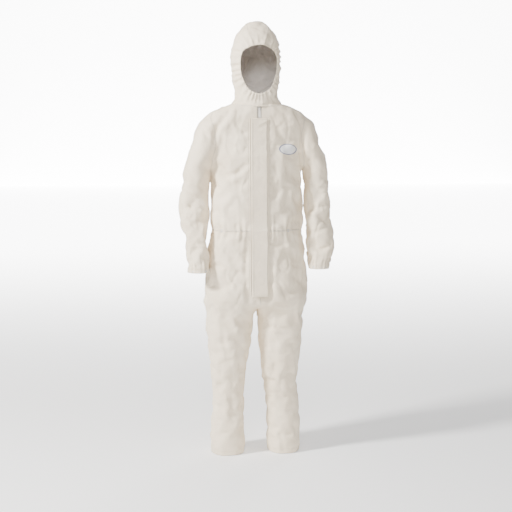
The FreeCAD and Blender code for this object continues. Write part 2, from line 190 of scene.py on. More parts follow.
def set_coords(obj, co):
    obj.data.vertices.foreach_set("co", np.ascontiguousarray(co, float).ravel())
    obj.data.update()


def vertex_normals(obj):
    n = np.empty(len(obj.data.vertices) * 3)
    obj.data.vertex_normals.foreach_get("vector", n)
    return n.reshape(-1, 3)


def smooth_shade(obj):
    obj.data.polygons.foreach_set("use_smooth", [True] * len(obj.data.polygons))


def edge_pairs(obj):
    e = np.empty(len(obj.data.edges) * 2, int)
    obj.data.edges.foreach_get("vertices", e)
    return e.reshape(-1, 2)


def relax(values, edges, rounds, share, fixed=None):
    """Moves per-vertex values a share of the way to their neighbours' mean, unless fixed."""
    count = np.bincount(edges.ravel(), minlength=len(values))[:, None]
    values = values.copy()
    for _ in range(rounds):
        total = np.zeros_like(values)
        np.add.at(total, edges[:, 0], values[edges[:, 1]])
        np.add.at(total, edges[:, 1], values[edges[:, 0]])
        mean = total / np.maximum(count, 1)
        step = (mean - values) * share
        if fixed is not None:
            step *= (1 - fixed)[:, None]
        values += step
    return values


def tube_object(name, form, z_low, z_high, step, around):
    """A closed tube with flat caps, in metres."""
    rows = int(math.ceil((z_high - z_low) / step)) + 1
    z = np.linspace(z_low, z_high, rows)
    a = np.arange(around) * 2 * math.pi / around
    p = form.point(a[None, :] + 0 * z[:, None], z[:, None] + 0 * a[None, :]) * MM
    verts = list(p.reshape(-1, 3))
    faces = []
    for i in range(rows - 1):
        for j in range(around):
            k = (j + 1) % around
            faces.append((i * around + j, i * around + k, (i + 1) * around + k,
                          (i + 1) * around + j))
    faces.append(tuple(reversed(range(around))))
    faces.append(tuple((rows - 1) * around + j for j in range(around)))
    return new_object(name, verts, faces)


def apply_modifiers(obj):
    depsgraph = bpy.context.evaluated_depsgraph_get()
    mesh = bpy.data.meshes.new_from_object(obj.evaluated_get(depsgraph))
    old = obj.data
    obj.modifiers.clear()
    obj.data = mesh
    bpy.data.meshes.remove(old)


def voxel_skin(obj, size):
    """Makes one skin of even quads out of closed tubes that overlap."""
    remesh = obj.modifiers.new("r", "REMESH")
    remesh.mode = "VOXEL"
    remesh.voxel_size = size
    apply_modifiers(obj)


def open_mesh(obj):
    bm = bmesh.new()
    bm.from_mesh(obj.data)
    return bm


def close_mesh(bm, obj):
    bm.to_mesh(obj.data)
    bm.free()


def cut_plane(bm, point, normal):
    """Cuts the mesh by a plane and clears what lies on the normal's side."""
    geom = bm.verts[:] + bm.edges[:] + bm.faces[:]
    bmesh.ops.bisect_plane(bm, geom=geom, dist=1e-6, plane_co=point, plane_no=normal,
                           clear_outer=True)


def extrude(bm, edges):
    """Extrudes open edges and gives the new vertices and the new edges."""
    geom = bmesh.ops.extrude_edge_only(bm, edges=edges)["geom"]
    return ([g for g in geom if isinstance(g, bmesh.types.BMVert)],
            [g for g in geom if isinstance(g, bmesh.types.BMEdge)])


# ------------------------------------------------------------------ the garment's body
ARM_AWAY, LEG_AWAY = 30.0, 12.0  # how far out the limbs are held while the skin is made


def arm_shift(z):
    return ARM_AWAY * smoothstep(-z, 225, 300)


def leg_shift(z):
    return LEG_AWAY * smoothstep(-np.asarray(z, float), 770, 830)


def limb_tube(rows, side, shift, end, top, around):
    """A sleeve or a leg, held out from the body and run on past its end."""
    rows = rows + [(end - RUN_ON, *rows[-1][1:])]
    form = Form([(z, side * (cx + float(shift(z))), cy, hx, hy) for z, cx, hx, cy, hy in rows],
                LIMB_POWER)
    return tube_object("limb", form, end - RUN_ON, top, ROW_STEP, around)


def build_body():
    """Torso, sleeves and legs as one skin, open at the neck, cuffs and hems."""
    parts = [tube_object("torso", torso_form, CROTCH_Z, 0, ROW_STEP, 128)]
    for s in SIDE:
        parts.append(limb_tube(SLEEVE[s], SIDE[s], arm_shift, CUFF_Z[s], SLEEVE_TOP_Z, 72))
        parts.append(limb_tube(LEG[s], SIDE[s], leg_shift, HEM_Z, LEG_TOP_Z, 96))
    bpy.ops.object.select_all(action="DESELECT")
    for p in parts:
        p.select_set(True)
    bpy.context.view_layer.objects.active = parts[0]
    bpy.ops.object.join()
    skin = bpy.context.view_layer.objects.active
    skin.name = "body_cloth"
    voxel_skin(skin, BODY_VOXEL)
    set_coords(skin, relax(coords(skin), edge_pairs(skin), 4, 0.5))
    x, _, z = (coords(skin) / MM).T
    crotch = (smoothstep(-z, 705, 760) * (1 - smoothstep(-z, 830, 890))
              * (1 - smoothstep(np.abs(x), 110, 165)))
    set_coords(skin, relax(coords(skin), edge_pairs(skin), 70, 0.5, 1 - crotch))
    bm = open_mesh(skin)
    cut_plane(bm, (0, 0, -0.0015), (0, 0, 1))
    for s in SIDE:
        cut_below(bm, CUFF_Z[s] * MM, lambda v, s=s: v.co.x * SIDE[s] > 0.214 and v.co.z > -0.72)
    cut_below(bm, HEM_Z * MM, lambda v: v.co.z < -1.2)
    close_mesh(bm, skin)
    # bring the sleeves and the legs back to their places
    co = coords(skin)
    z = co[:, 2] / MM
    half = torso_form.at(z)[:, 2]
    sleeve = (np.abs(co[:, 0]) / MM > half + 8) & (z < -225) & (z > -700)
    co[:, 0] -= np.where(sleeve, np.sign(co[:, 0]) * arm_shift(z) * MM, 0)
    co[:, 0] -= np.sign(co[:, 0]) * np.minimum(leg_shift(z) * MM, np.abs(co[:, 0]) * 0.6)
    set_coords(skin, co)
    return skin


def cut_below(bm, z, wanted):
    """Clears what is below a height, among the wanted vertices only."""
    verts = [v for v in bm.verts if wanted(v)]
    chosen = set(verts)
    edges = [e for e in bm.edges if e.verts[0] in chosen and e.verts[1] in chosen]
    faces = [f for f in bm.faces if all(v in chosen for v in f.verts)]
    bmesh.ops.bisect_plane(bm, geom=verts + edges + faces, dist=1e-6,
                           plane_co=(0, 0, z), plane_no=(0, 0, -1), clear_outer=False)
    gone = [v for v in bm.verts if v.co.z < z - 1e-5 and wanted(v)]
    bmesh.ops.delete(bm, geom=gone, context="VERTS")


# ------------------------------------------------------------------ the hood
FACE_TOP, FACE_LOW, FACE_HALF = 230.0, 43.0, 71.0
FACE_SHAPE = [(0, 0), (0.56, 0.09), (0.9, 0.33), (1.0, 0.62), (0.84, 0.88), (0, 1)]


def face_outline(count):
    """The face opening's rim as (x, z) points in mm, one smooth closed curve."""
    pts = FACE_SHAPE + [(-x, z) for x, z in reversed(FACE_SHAPE[1:-1])]
    pts = np.array([(x * FACE_HALF, FACE_LOW + z * (FACE_TOP - FACE_LOW)) for x, z in pts])
    n = len(pts)
    out = []
    for k in range(count):
        u = k * n / count
        i, t = int(u), u % 1
        p0, p1, p2, p3 = (pts[(i + d) % n] for d in (-1, 0, 1, 2))
        out.append(0.5 * (2 * p1 + (p2 - p0) * t + (2 * p0 - 5 * p1 + 4 * p2 - p3) * t**2
                          + (3 * p1 - p0 - 3 * p2 + p3) * t**3))
    return np.array(out)


RIM = face_outline(160)


def rim_distance(x, z):
    """Signed distance in mm from the face opening's rim, negative inside, and the nearest place."""
    p = np.stack([np.asarray(x), np.asarray(z)], -1)
    a, b = RIM, np.roll(RIM, -1, 0)
    best = np.full(p.shape[0], 1e9)
    near = np.zeros_like(p)
    where = np.zeros(p.shape[0])
    inside = np.zeros(p.shape[0], bool)
    for k in range(len(a)):
        d = b[k] - a[k]
        t = np.clip(((p - a[k]) @ d) / (d @ d), 0, 1)
        q = a[k] + t[:, None] * d
        dist = np.hypot(*(p - q).T)
        hit = dist < best
        best[hit], near[hit], where[hit] = dist[hit], q[hit], ((k + t) / len(a))[hit]
        cross = (a[k, 1] > p[:, 1]) != (b[k, 1] > p[:, 1])
        span = b[k, 1] - a[k, 1]
        if span:
            xc = a[k, 0] + (p[:, 1] - a[k, 1]) / span * d[0]
            inside ^= cross & (p[:, 0] < xc)
    return np.where(inside, -best, best), near, where


def build_hood():
    """The hood's skin, open at the neck and the face."""
    low = [(-RUN_ON, *hood_form.v[0])]
    tall = Form(low + [(z, *v) for z, v in zip(hood_form.z, hood_form.v)], TORSO_POWER)
    skin = tube_object("hood_cloth", tall, -RUN_ON, HOOD[-1][0], 6, 120)
    voxel_skin(skin, HOOD_VOXEL)
    set_coords(skin, relax(coords(skin), edge_pairs(skin), 5, 0.5))
    bm = open_mesh(skin)
    cut_plane(bm, (0, 0, 0.0), (0, 0, -1))
    bm.verts.ensure_lookup_table()
    co = np.array([v.co for v in bm.verts])
    inner = rim_distance(co[:, 0] / MM, co[:, 2] / MM)[0] < -2.5
    gone = [v for v, out in zip(bm.verts, (co[:, 1] < 0) & inner) if out]
    bmesh.ops.delete(bm, geom=gone, context="VERTS")
    for _ in range(2):
        loose = [v for v in bm.verts if v.is_boundary and len(v.link_faces) == 1]
        bmesh.ops.delete(bm, geom=loose, context="VERTS")
    close_mesh(bm, skin)
    co = coords(skin)
    edge = boundary_vertices(skin) & (co[:, 2] > 0.02)
    _, near, _ = rim_distance(co[edge, 0] / MM, co[edge, 2] / MM)
    co[edge, 0], co[edge, 2] = near[:, 0] * MM, near[:, 1] * MM
    set_coords(skin, relax(co, edge_pairs(skin), 3, 0.5, boundary_vertices(skin).astype(float)))
    return skin


def boundary_vertices(obj):
    """A mask of the vertices on an open edge."""
    count = {}
    for poly in obj.data.polygons:
        for key in poly.edge_keys:
            count[key] = count.get(key, 0) + 1
    mask = np.zeros(len(obj.data.vertices), bool)
    for (a, b), n in count.items():
        if n == 1:
            mask[a] = mask[b] = True
    return mask


# ------------------------------------------------------------------ cloth simulation
def weight_group(obj, name, weights):
    """Stores weights as a vertex group and gives its name."""
    group = obj.vertex_groups.new(name=name)
    for level in np.unique(np.round(weights, 2)):
        if level > 0:
            group.add([int(i) for i in np.nonzero(np.round(weights, 2) == level)[0]],
                      float(level), "REPLACE")
    return name


def simulate(skins, frames):
    """Runs the cloth of each skin and applies it.

    A skin is (object, pin weights, spare weights, spare length at weights 0 and 1, bending).
    """
    scene = bpy.context.scene
    scene.frame_start, scene.frame_end = 1, frames
    for obj, pin, spare, lengths, bending in skins:
        cloth = obj.modifiers.new("cloth", "CLOTH")
        st = cloth.settings
        st.quality = 4
        st.mass = 0.02
        st.air_damping = 4.0
        st.tension_stiffness = st.compression_stiffness = 20
        st.shear_stiffness = 8
        st.bending_stiffness = bending
        st.bending_damping = 1.0
        st.tension_damping = st.compression_damping = 10
        st.vertex_group_mass = weight_group(obj, "pin", pin)
        st.pin_stiffness = 1.0
        st.vertex_group_shrink = weight_group(obj, "spare", spare)
        st.shrink_min = -lengths[0]
        st.shrink_max = -lengths[1]
        st.effector_weights.gravity = 0.5
        cloth.collision_settings.use_collision = False
        cloth.collision_settings.use_self_collision = False
        cloth.point_cache.frame_start, cloth.point_cache.frame_end = 1, frames
    for f in range(1, frames + 1):
        scene.frame_set(f)
    for obj, *_ in skins:
        apply_modifiers(obj)
    scene.frame_set(1)


def noise_push(obj, size, seed):
    """A small smooth random push along the normals, so that the cloth has a way to buckle."""
    rng = np.random.default_rng(seed)
    co, n = coords(obj), vertex_normals(obj)
    value = relax(rng.normal(size=(len(co), 1)), edge_pairs(obj), 6, 0.6)[:, 0]
    value /= np.abs(value).max()
    set_coords(obj, co + n * (value * size)[:, None])


def body_settings(obj):
    """Pin and spare-length weights of the body skin."""
    co = coords(obj) / MM
    x, y, z = co.T
    ax = np.abs(x)
    arm = ax > torso_form.at(z)[:, 2] + 4
    pin = 0.10 + 0.12 * smoothstep(-z, 850, 950)
    pin = np.maximum(pin, 1.0 * (z > -5))
    pin = np.maximum(pin, 0.35 * smoothstep(z, -80, -30))
    pin = np.maximum(pin, 1.0 * (np.abs(z - WAIST_Z) < 7) * ~arm)
    pin = np.maximum(pin, (1 - smoothstep(ax, 34, 60)) * smoothstep(z, -785, -700)
                     * ((y < 0) & ~arm))
    cuff = np.where(x > 0, CUFF_Z["left"], CUFF_Z["right"])
    pin = np.maximum(pin, 1.0 * (arm & (z < cuff + 20)))
    pin = np.maximum(pin, 0.6 * smoothstep(-z, 1372, 1392))
    spare = np.zeros(len(co))
    near_waist = np.exp(-((z - WAIST_Z) / 26) ** 2) * ~arm
    spare = np.maximum(spare, 0.9 * near_waist)
    spare = np.maximum(spare, arm * 1.0 * np.exp(-((z - cuff - 34) / 26) ** 2))
    spare = np.maximum(spare, arm * 0.35 * smoothstep(-z, 280, 360))
    spare = np.maximum(spare, 0.12 * np.exp(-((z + 985) / 90) ** 2))
    spare = np.maximum(spare, 0.05 * (z < -1200))
    return pin, spare


def hood_settings(obj):
    """Pin and spare-length weights of the hood's skin."""
    co = coords(obj) / MM
    x, y, z = co.T
    d = rim_distance(x, z)[0]
    front = y < 20
    pin = 0.14 + 0.5 * smoothstep(z, 200, 290)
    pin = np.maximum(pin, 1.0 * (z < 3))
    pin = np.maximum(pin, 1.0 * (front & (d < 5)))
    spare = np.zeros(len(co))
    spare = np.maximum(spare, front * np.exp(-(np.maximum(d, 0) / 26) ** 2))
    spare = np.maximum(spare, 0.5 * np.exp(-((z - 20) / 30) ** 2))
    return pin, spare


# ------------------------------------------------------------------ authored folds
# front folds: ((x, z) points in mm, half width, depth); a negative depth is a crease
FRONT_FOLDS = [
    ([(-115, -32), (-160, -82), (-171, -118), (-178, -160)], 10, -6.0),
    ([(-104, -40), (-146, -90), (-158, -140)], 12, 3.0),
    ([(-219, -84), (-206, -118), (-189, -150)], 9, -5.0),
    ([(-149, -275), (-110, -272), (-79, -256), (-40, -222)], 9, -4.5),
    ([(-150, -292), (-100, -290), (-60, -270)], 11, 3.0),
    ([(-131, -320), (-95, -340), (-63, -364)], 9, -3.5),
    ([(104, -225), (117, -336), (105, -436)], 12, -3.5),
    ([(66, -190), (58, -300), (66, -400)], 13, -2.5),
    ([(150, -210), (140, -320), (146, -440)], 12, -3.0),
    ([(174, -96), (178, -160), (176, -228)], 9, -7.0),
    ([(162, -90), (160, -180), (164, -240)], 9, 3.0),
    ([(33, -536), (70, -548), (112, -545)], 7, -3.5),
    ([(109, -620), (150, -632), (189, -640)], 5, -2.2),
    ([(157, -536), (156, -600), (158, -690)], 5, -2.0),
    ([(-195, -600), (-151, -608), (-91, -636)], 9, 3.5),
    ([(-185, -622), (-140, -632), (-95, -655)], 8, -3.0),
    ([(-123, -656), (-104, -684), (-91, -712)], 8, -3.5),
    ([(-48, -520), (-56, -600), (-58, -690), (-46, -790)], 9, -5.5),
    ([(44, -560), (46, -640), (44, -720), (26, -796)], 8, -5.5),
    ([(-131, -506), (-80, -520), (-30, -556)], 11, 3.5),
    ([(-147, -796), (-110, -822), (-70, -862)], 9, -4.5),
    ([(-147, -876), (-141, -930), (-132, -985)], 9, -4.0),
    ([(-60, -880), (-80, -930), (-84, -1010)], 12, -3.0),
    ([(33, -776), (80, -784), (136, -792)], 8, -4.0),
    ([(37, -868), (80, -880), (132, -882)], 8, -4.0),
    ([(138, -806), (142, -860)], 8, -3.5),
    ([(60, -930), (66, -1040), (58, -1140)], 11, -3.0),
    ([(120, -960), (122, -1060), (134, -1180)], 12, -2.5),
    ([(-100, -1050), (-108, -1180), (-102, -1290)], 12, -3.0),
    ([(-150, -1020), (-146, -1140), (-150, -1260)], 10, -2.5),
    ([(86, -1300), (96, -1350), (104, -1398)], 9, -3.5),
    ([(-290, -290), (-240, -318), (-198, -330)], 9, -4.0),
    ([(-296, -340), (-250, -362), (-202, -368)], 9, -4.5),
    ([(-292, -392), (-240, -404), (-198, -402)], 8, -4.5),
    ([(-290, -430), (-240, -450), (-200, -446)], 9, -3.5),
    ([(-286, -536), (-240, -540), (-198, -534)], 7, -4.0),
    ([(202, -300), (240, -330), (284, -322)], 9, -3.5),
    ([(202, -416), (244, -404), (290, -376)], 9, -4.5),
    ([(198, -504), (246, -494), (296, -462)], 9, -4.5),
    ([(202, -576), (250, -572), (298, -548)], 8, -4.0),
]
BACK_FOLDS = [
    ([(-120, -60), (-60, -110), (0, -128), (60, -110), (120, -60)], 14, -3.5),
    ([(-170, -200), (-110, -250), (-60, -260)], 12, -4.0),
    ([(170, -200), (110, -240), (50, -262)], 12, -4.0),
    ([(-150, -380), (-70, -420), (20, -412)], 12, -4.0),
    ([(150, -400), (80, -432), (10, -440)], 12, -3.5),
    ([(-150, -560), (-80, -600), (-20, -690)], 12, -4.5),
    ([(150, -560), (80, -610), (20, -700)], 12, -4.5),
    ([(0, -600), (0, -700), (0, -785)], 9, -6.0),
    ([(-160, -800), (-100, -842), (-50, -840)], 10, -4.5),
    ([(160, -800), (100, -846), (50, -842)], 10, -4.5),
    ([(-170, -930), (-110, -960), (-60, -950)], 10, -5.0),
    ([(-170, -1000), (-110, -1012), (-60, -1004)], 10, -5.0),
    ([(170, -940), (110, -966), (50, -958)], 10, -5.0),
    ([(170, -1010), (110, -1022), (50, -1010)], 10, -5.0),
    ([(-290, -330), (-240, -352), (-200, -340)], 9, -4.0),
    ([(290, -336), (240, -356), (200, -344)], 9, -4.0),
    ([(-110, -1080), (-120, -1200), (-112, -1320)], 12, -3.0),
    ([(100, -1090), (112, -1210), (120, -1330)], 12, -3.0),
]


def fold_profile(d, width, depth):
    """A crease with a soft lip either side of it, or a plain round ridge."""
    ridge = np.exp(-(d / width) ** 2)
    if depth > 0:
        return depth * ridge
    lip = np.exp(-((np.abs(d) - 1.9 * width) / width) ** 2)
    return depth * ridge - 0.34 * depth * lip


def apply_folds(co, normals, folds, facing):
    """Pushes the vertices of one face of the suit in and out along its folds."""
    push = np.zeros(len(co))
    x, z = co[:, 0] / MM, co[:, 2] / MM
    side = smoothstep(facing * normals[:, 1], 0.05, 0.45)
    for points, width, depth in folds:
        pts = np.array(points, float)
        a, b = pts[:-1], pts[1:]
        box = ((x > pts[:, 0].min() - 5 * width) & (x < pts[:, 0].max() + 5 * width)
               & (z > pts[:, 1].min() - 5 * width) & (z < pts[:, 1].max() + 5 * width))
        idx = np.nonzero(box & (side > 0))[0]
        if not len(idx):
            continue
        p = np.stack([x[idx], z[idx]], -1)
        total = np.concatenate([[0], np.cumsum(np.hypot(*(b - a).T))])
        best = np.full(len(idx), 1e9)
        along = np.zeros(len(idx))
        for k in range(len(a)):
            d = b[k] - a[k]
            t = np.clip(((p - a[k]) @ d) / (d @ d), 0, 1)
            dist = np.hypot(*(p - a[k] - t[:, None] * d).T)
            hit = dist < best
            best[hit] = dist[hit]
            along[hit] = (total[k] + t[hit] * np.hypot(*d)) / total[-1]
        taper = np.sin(np.pi * np.clip(along, 0.02, 0.98)) ** 0.7
        push[idx] += side[idx] * taper * fold_profile(best, width, depth)
    return co + normals * (push * MM)[:, None]


# ------------------------------------------------------------------ the suit as arrays
def geodesic(obj, seeds):
    """Shortest path in mm along the mesh's edges from the seed vertices."""
    co = coords(obj) / MM
    near = [[] for _ in co]
    for a, b in edge_pairs(obj):
        length = float(np.linalg.norm(co[a] - co[b]))
        near[a].append((b, length))
        near[b].append((a, length))
    dist = np.full(len(co), 1e9)
    heap = []
    for i in np.nonzero(seeds)[0]:
        dist[i] = 0
        heap.append((0.0, int(i)))
    heapq.heapify(heap)
    while heap:
        d, i = heapq.heappop(heap)
        if d > dist[i]:
            continue
        for j, length in near[i]:
            if d + length < dist[j]:
                dist[j] = d + length
                heapq.heappush(heap, (d + length, int(j)))
    return dist


def form_distance(form, co):
    """Roughly how far points (mm) are outside a form."""
    cx, cy, hx, hy = np.moveaxis(form.at(co[:, 2]), -1, 0)
    n = form.power
    r = (np.abs((co[:, 0] - cx) / hx) ** n + np.abs((co[:, 1] - cy) / hy) ** n) ** (1 / n)
    return (r - 1) * np.minimum(hx, hy)


def armhole_distance(obj):
    """Signed distance along the cloth from the armhole seam, positive down the sleeve."""
    co = coords(obj) / MM
    torso = form_distance(torso_form, co)
    sleeve = np.minimum(form_distance(sleeve_form["left"], co),
                        form_distance(sleeve_form["right"], co))
    on = (sleeve < torso) & (co[:, 2] > -700)
    e = edge_pairs(obj)
    border = np.zeros(len(co), bool)
    cross = on[e[:, 0]] != on[e[:, 1]]
    border[e[cross].ravel()] = True
    return geodesic(obj, border) * np.where(on, 1, -1)


def store(obj, name, values):
    """Keeps a number or a vector per vertex on the mesh, which a subdivision carries on."""
    values = np.asarray(values, float)
    kind = "FLOAT_VECTOR" if values.ndim == 2 else "FLOAT"
    attr = obj.data.attributes.new(name, kind, "POINT")
    attr.data.foreach_set("vector" if values.ndim == 2 else "value", values.ravel())


def read(obj, name):
    attr = obj.data.attributes[name]
    if attr.data_type == "FLOAT_VECTOR":
        out = np.empty(len(attr.data) * 3)
        attr.data.foreach_get("vector", out)
        return out.reshape(-1, 3)
    out = np.empty(len(attr.data))
    attr.data.foreach_get("value", out)
    return out


def subdivide(obj):
    """Quarters each face and rounds the skin."""
    m = obj.modifiers.new("s", "SUBSURF")
    m.levels = m.render_levels = 1
    apply_modifiers(obj)


body = build_body()
hood = build_hood()
store(body, "rest", coords(body))
store(hood, "rest", coords(hood))
store(body, "arm", armhole_distance(body))
noise_push(body, 0.004, 3)
noise_push(hood, 0.003, 5)
body_pin, body_spare = body_settings(body)
hood_pin, hood_spare = hood_settings(hood)
simulate([(body, body_pin, body_spare, (0.028, 0.16), 3.0),
          (hood, hood_pin, hood_spare, (0.03, 0.16), 1.5)], CLOTH_FRAMES)
subdivide(body)
subdivide(hood)
for facing, folds in ((-1, FRONT_FOLDS), (1, BACK_FOLDS)):
    set_coords(body, apply_folds(coords(body), vertex_normals(body), folds, facing))


# ------------------------------------------------------------------ crumples and gathers
WAVE_COUNT = 14
UPRIGHT = 0.6                    # below 1, creases run longer up the suit than round it


def waves(points, seed, longest, shortest):
    """A smooth random field of about unit size, from sine waves in random directions (mm)."""
    rng = np.random.default_rng(seed)
    total = np.zeros(len(points))
    for _ in range(WAVE_COUNT):
        d = rng.normal(size=3)
        d /= np.linalg.norm(d)
        length = math.exp(rng.uniform(math.log(shortest), math.log(longest)))
        total += np.sin(points @ d * (2 * math.pi / length) + rng.uniform(0, 2 * math.pi))
    return total / math.sqrt(WAVE_COUNT / 2)


def crumple(obj, size, seed):
    """Crisp creases of stiff thin cloth: sharp ridges and valleys where two fields cross zero."""
    co, normals = coords(obj), vertex_normals(obj)
    rest = read(obj, "rest") / MM * np.array([1, 1, UPRIGHT])
    height = np.zeros(len(co))
    for k, (longest, shortest, share, sharp) in enumerate(
            ((260, 120, 1.0, 2.4), (150, 70, 1.0, 3.2), (84, 42, 0.6, 3.0))):
        field = waves(rest, seed + 10 * k, longest, shortest)
        mask = smoothstep(waves(rest, seed + 10 * k + 5, 400, 180), -0.7, 0.9)
        ridge = np.exp(-sharp * np.abs(field)) - 0.45
        height += share * ridge * mask * (1 if k != 1 else -1)
    set_coords(obj, co + normals * (height * size(*(read(obj, "rest") / MM).T) * MM)[:, None])


def body_crumple(x, y, z):
    """How much the body skin creases: more at the elbows, armpits, crotch and knees."""
    ax = np.abs(x)
    front_strip = (1 - smoothstep(ax, 34, 66)) * (y < 0) * smoothstep(z, -785, -740)
    elbow = (ax > 195) * np.exp(-((z + 400) / 130) ** 2)
    armpit = np.exp(-((ax - 185) / 45) ** 2 - ((z + 200) / 90) ** 2)
    crotch = np.exp(-(ax / 110) ** 2 - ((z + 770) / 90) ** 2)
    knee = np.exp(-((z + 990) / 110) ** 2)
    ends = smoothstep(z, -1385, -1340) * (1 - smoothstep(z, -30, -8))
    cuff = 1 - (ax > 185) * smoothstep(-z, 600, 625) * (z > -700)
    leg = smoothstep(-z, 840, 960)
    return (4.3 + 2.4 * elbow + 2.6 * armpit + 1.5 * crotch + 1.8 * knee - 2.6 * leg) * ends * cuff * (
        1 - 0.93 * front_strip)


crumple(body, body_crumple, 40)
crumple(hood, lambda x, y, z: 1.5 * smoothstep(z, 8, 40) * smoothstep(
    rim_distance(x, z)[0] + 60 * (y > 20), 6, 26), 80)


def soften_neck(body_skin, hood_skin):
    """Lets the torso rise into the hood's flared lower edge."""
    co = coords(body_skin)
    z = read(body_skin, "rest")[:, 2] / MM
    co[:, 2] += 8.0 * MM * smoothstep(z, -24, -2)
    set_coords(body_skin, co)
    co = coords(hood_skin)
    z = read(hood_skin, "rest")[:, 2] / MM
    flare = 13.0 * np.clip(1 - z / 34.0, 0, 1) ** 2
    middle = np.array([0, -0.012])
    out = co[:, :2] - middle
    out /= np.linalg.norm(out, axis=1)[:, None] + 1e-9
    out[:, 1] = 0
    out *= smoothstep(np.abs(read(hood_skin, "rest")[:, 0]) / MM, 38, 84)[:, None]
    co[:, :2] += out * (flare * MM)[:, None]
    set_coords(hood_skin, co)


soften_neck(body, hood)


def gather_hood(obj):
    """Gathers that run out from the face opening's elastic, deepest at its upper corners."""
    co, normals = coords(obj), vertex_normals(obj)
    rest = read(obj, "rest") / MM
    d, _, where = rim_distance(rest[:, 0], rest[:, 2])
    d = np.maximum(d, 0)
    turn = 2 * math.pi * where
    phase = 15 * turn + 1.4 * np.sin(2 * turn) + 0.9 * np.sin(5 * turn + 1) + 0.012 * d * np.sin(3 * turn)
    wave = 0.9 - 1.9 * np.abs(np.sin(phase)) + 0.45 * np.cos(1.9 * phase + 2.0)
    upper_right = np.exp(-((where - 0.66) / 0.13) ** 2)
    upper_left = np.exp(-((where - 0.38) / 0.10) ** 2)
    reach = 30 + 34 * upper_right + 22 * upper_left
    size = (2.5 + 2.6 * upper_right + 2.2 * upper_left) * np.exp(-(d / reach) ** 1.8)
    size *= smoothstep(d, 0, 8) * smoothstep(-normals[:, 1], -0.35, 0.25) * (rest[:, 1] < 60)
    set_coords(obj, co + normals * (wave * size * MM)[:, None])


gather_hood(hood)


def pleat(obj, form, wanted, centre, reach, count, size, seed):
    """Fine gathers across an elastic, where wanted: short ridges that run away from it."""
    rng = np.random.default_rng(seed)
    phase = rng.uniform(0, 2 * math.pi, 3)
    co, normals = coords(obj), vertex_normals(obj)
    rest = read(obj, "rest") / MM
    x, y, z = rest.T
    cx, cy, _, _ = np.moveaxis(form.at(z), -1, 0)
    a = np.arctan2(y - cy, x - cx)
    wave = (np.cos(count * a + phase[0]) + 0.7 * np.cos(1.37 * count * a + phase[1])
            + 0.5 * np.cos(0.61 * count * a + phase[2]))
    near = np.exp(-(np.abs(z - centre) / reach) ** 1.3)
    away = smoothstep(np.abs(z - centre), 0, 5)
    set_coords(obj, co + normals * (wave * size * near * (0.35 + 0.65 * away) * wanted
                                    * MM)[:, None])


in_arm = read(body, "arm") > 0
x, y, _ = (read(body, "rest") / MM).T
behind_zip = smoothstep(-y, 70, 100) * (np.abs(x) < 40)
pleat(body, torso_form, ~in_arm * (1 - behind_zip), WAIST_Z, 34, 34, 2.8, 11)
for s_name, sign in SIDE.items():
    on_side = in_arm & (coords(body)[:, 0] * sign > 0)
    pleat(body, sleeve_form[s_name], on_side, CUFF_Z[s_name] + 22, 26, 15, 2.8, 13)


# ------------------------------------------------------------------ openings and hems
def front_faces(bm, half, low, high=1.0):
    """The front's faces within half a width of the middle and between two heights, in metres."""
    out = []
    for f in bm.faces:
        c = f.calc_center_median()
        if c.y < -0.04 and abs(c.x) < half and low < c.z < high:
            out.append(f)
    return out


def cut_faces(bm, faces, point, normal):
    """Cuts only these faces by a plane."""
    geom = list({v for f in faces for v in f.verts}) + list({e for f in faces for e in f.edges})
    bmesh.ops.bisect_plane(bm, geom=geom + faces, dist=1e-6, plane_co=point, plane_no=normal)


def open_zip_slot(obj):
    """Parts the front panels along the zip and folds their edges in to its tapes."""
    bm = open_mesh(obj)
    half, end = CHANNEL_HALF * MM, ZIP_LOW_Z * MM
    for sign in (1, -1):
        cut_faces(bm, front_faces(bm, 0.05, -0.78), (sign * half, 0, 0), (sign, 0, 0))
    cut_faces(bm, front_faces(bm, half, end - 0.03, end + 0.03), (0, 0, end), (0, 0, 1))
    bmesh.ops.delete(bm, geom=front_faces(bm, half - 1e-6, end), context="FACES")
    edges = [e for e in bm.edges if e.is_boundary and all(
        abs(abs(v.co.x) - half) < 2e-4 and v.co.y < -0.04 and v.co.z > end - 1e-3
        for v in e.verts)]
    for v in extrude(bm, edges)[0]:
        v.co.y = (front_y(v.co.z / MM) + 6.2) * MM
    close_mesh(bm, obj)


def fold_edge(obj, wanted, centre, axis, steps):
    """Folds an open edge, in steps of (metres toward the centre, metres along the axis)."""
    bm = open_mesh(obj)
    edges = [e for e in bm.edges if e.is_boundary and all(wanted(v.co) for v in e.verts)]
    for toward, along in steps:
        verts, edges = extrude(bm, edges)
        for v in verts:
            d = Vector([0 if k == axis else centre[k] - v.co[k] for k in range(3)]).normalized()
            move = d * toward
            move[axis] = along
            v.co += move
    close_mesh(bm, obj)


def tuck_neck(obj):
    """Runs the hood's lower edge down past the neckline seam."""
    bm = open_mesh(obj)
    edges = [e for e in bm.edges if e.is_boundary and all(v.co.z < 0.02 for v in e.verts)]
    for v in extrude(bm, edges)[0]:
        v.co += Vector((v.co.x * 0.03, v.co.y * 0.03, -0.006))
    close_mesh(bm, obj)


def hem_steps(up):
    """In under the edge, then up the inside."""
    return (0.0008, -0.0008), (0.0008, 0.0012), (0.0, up)


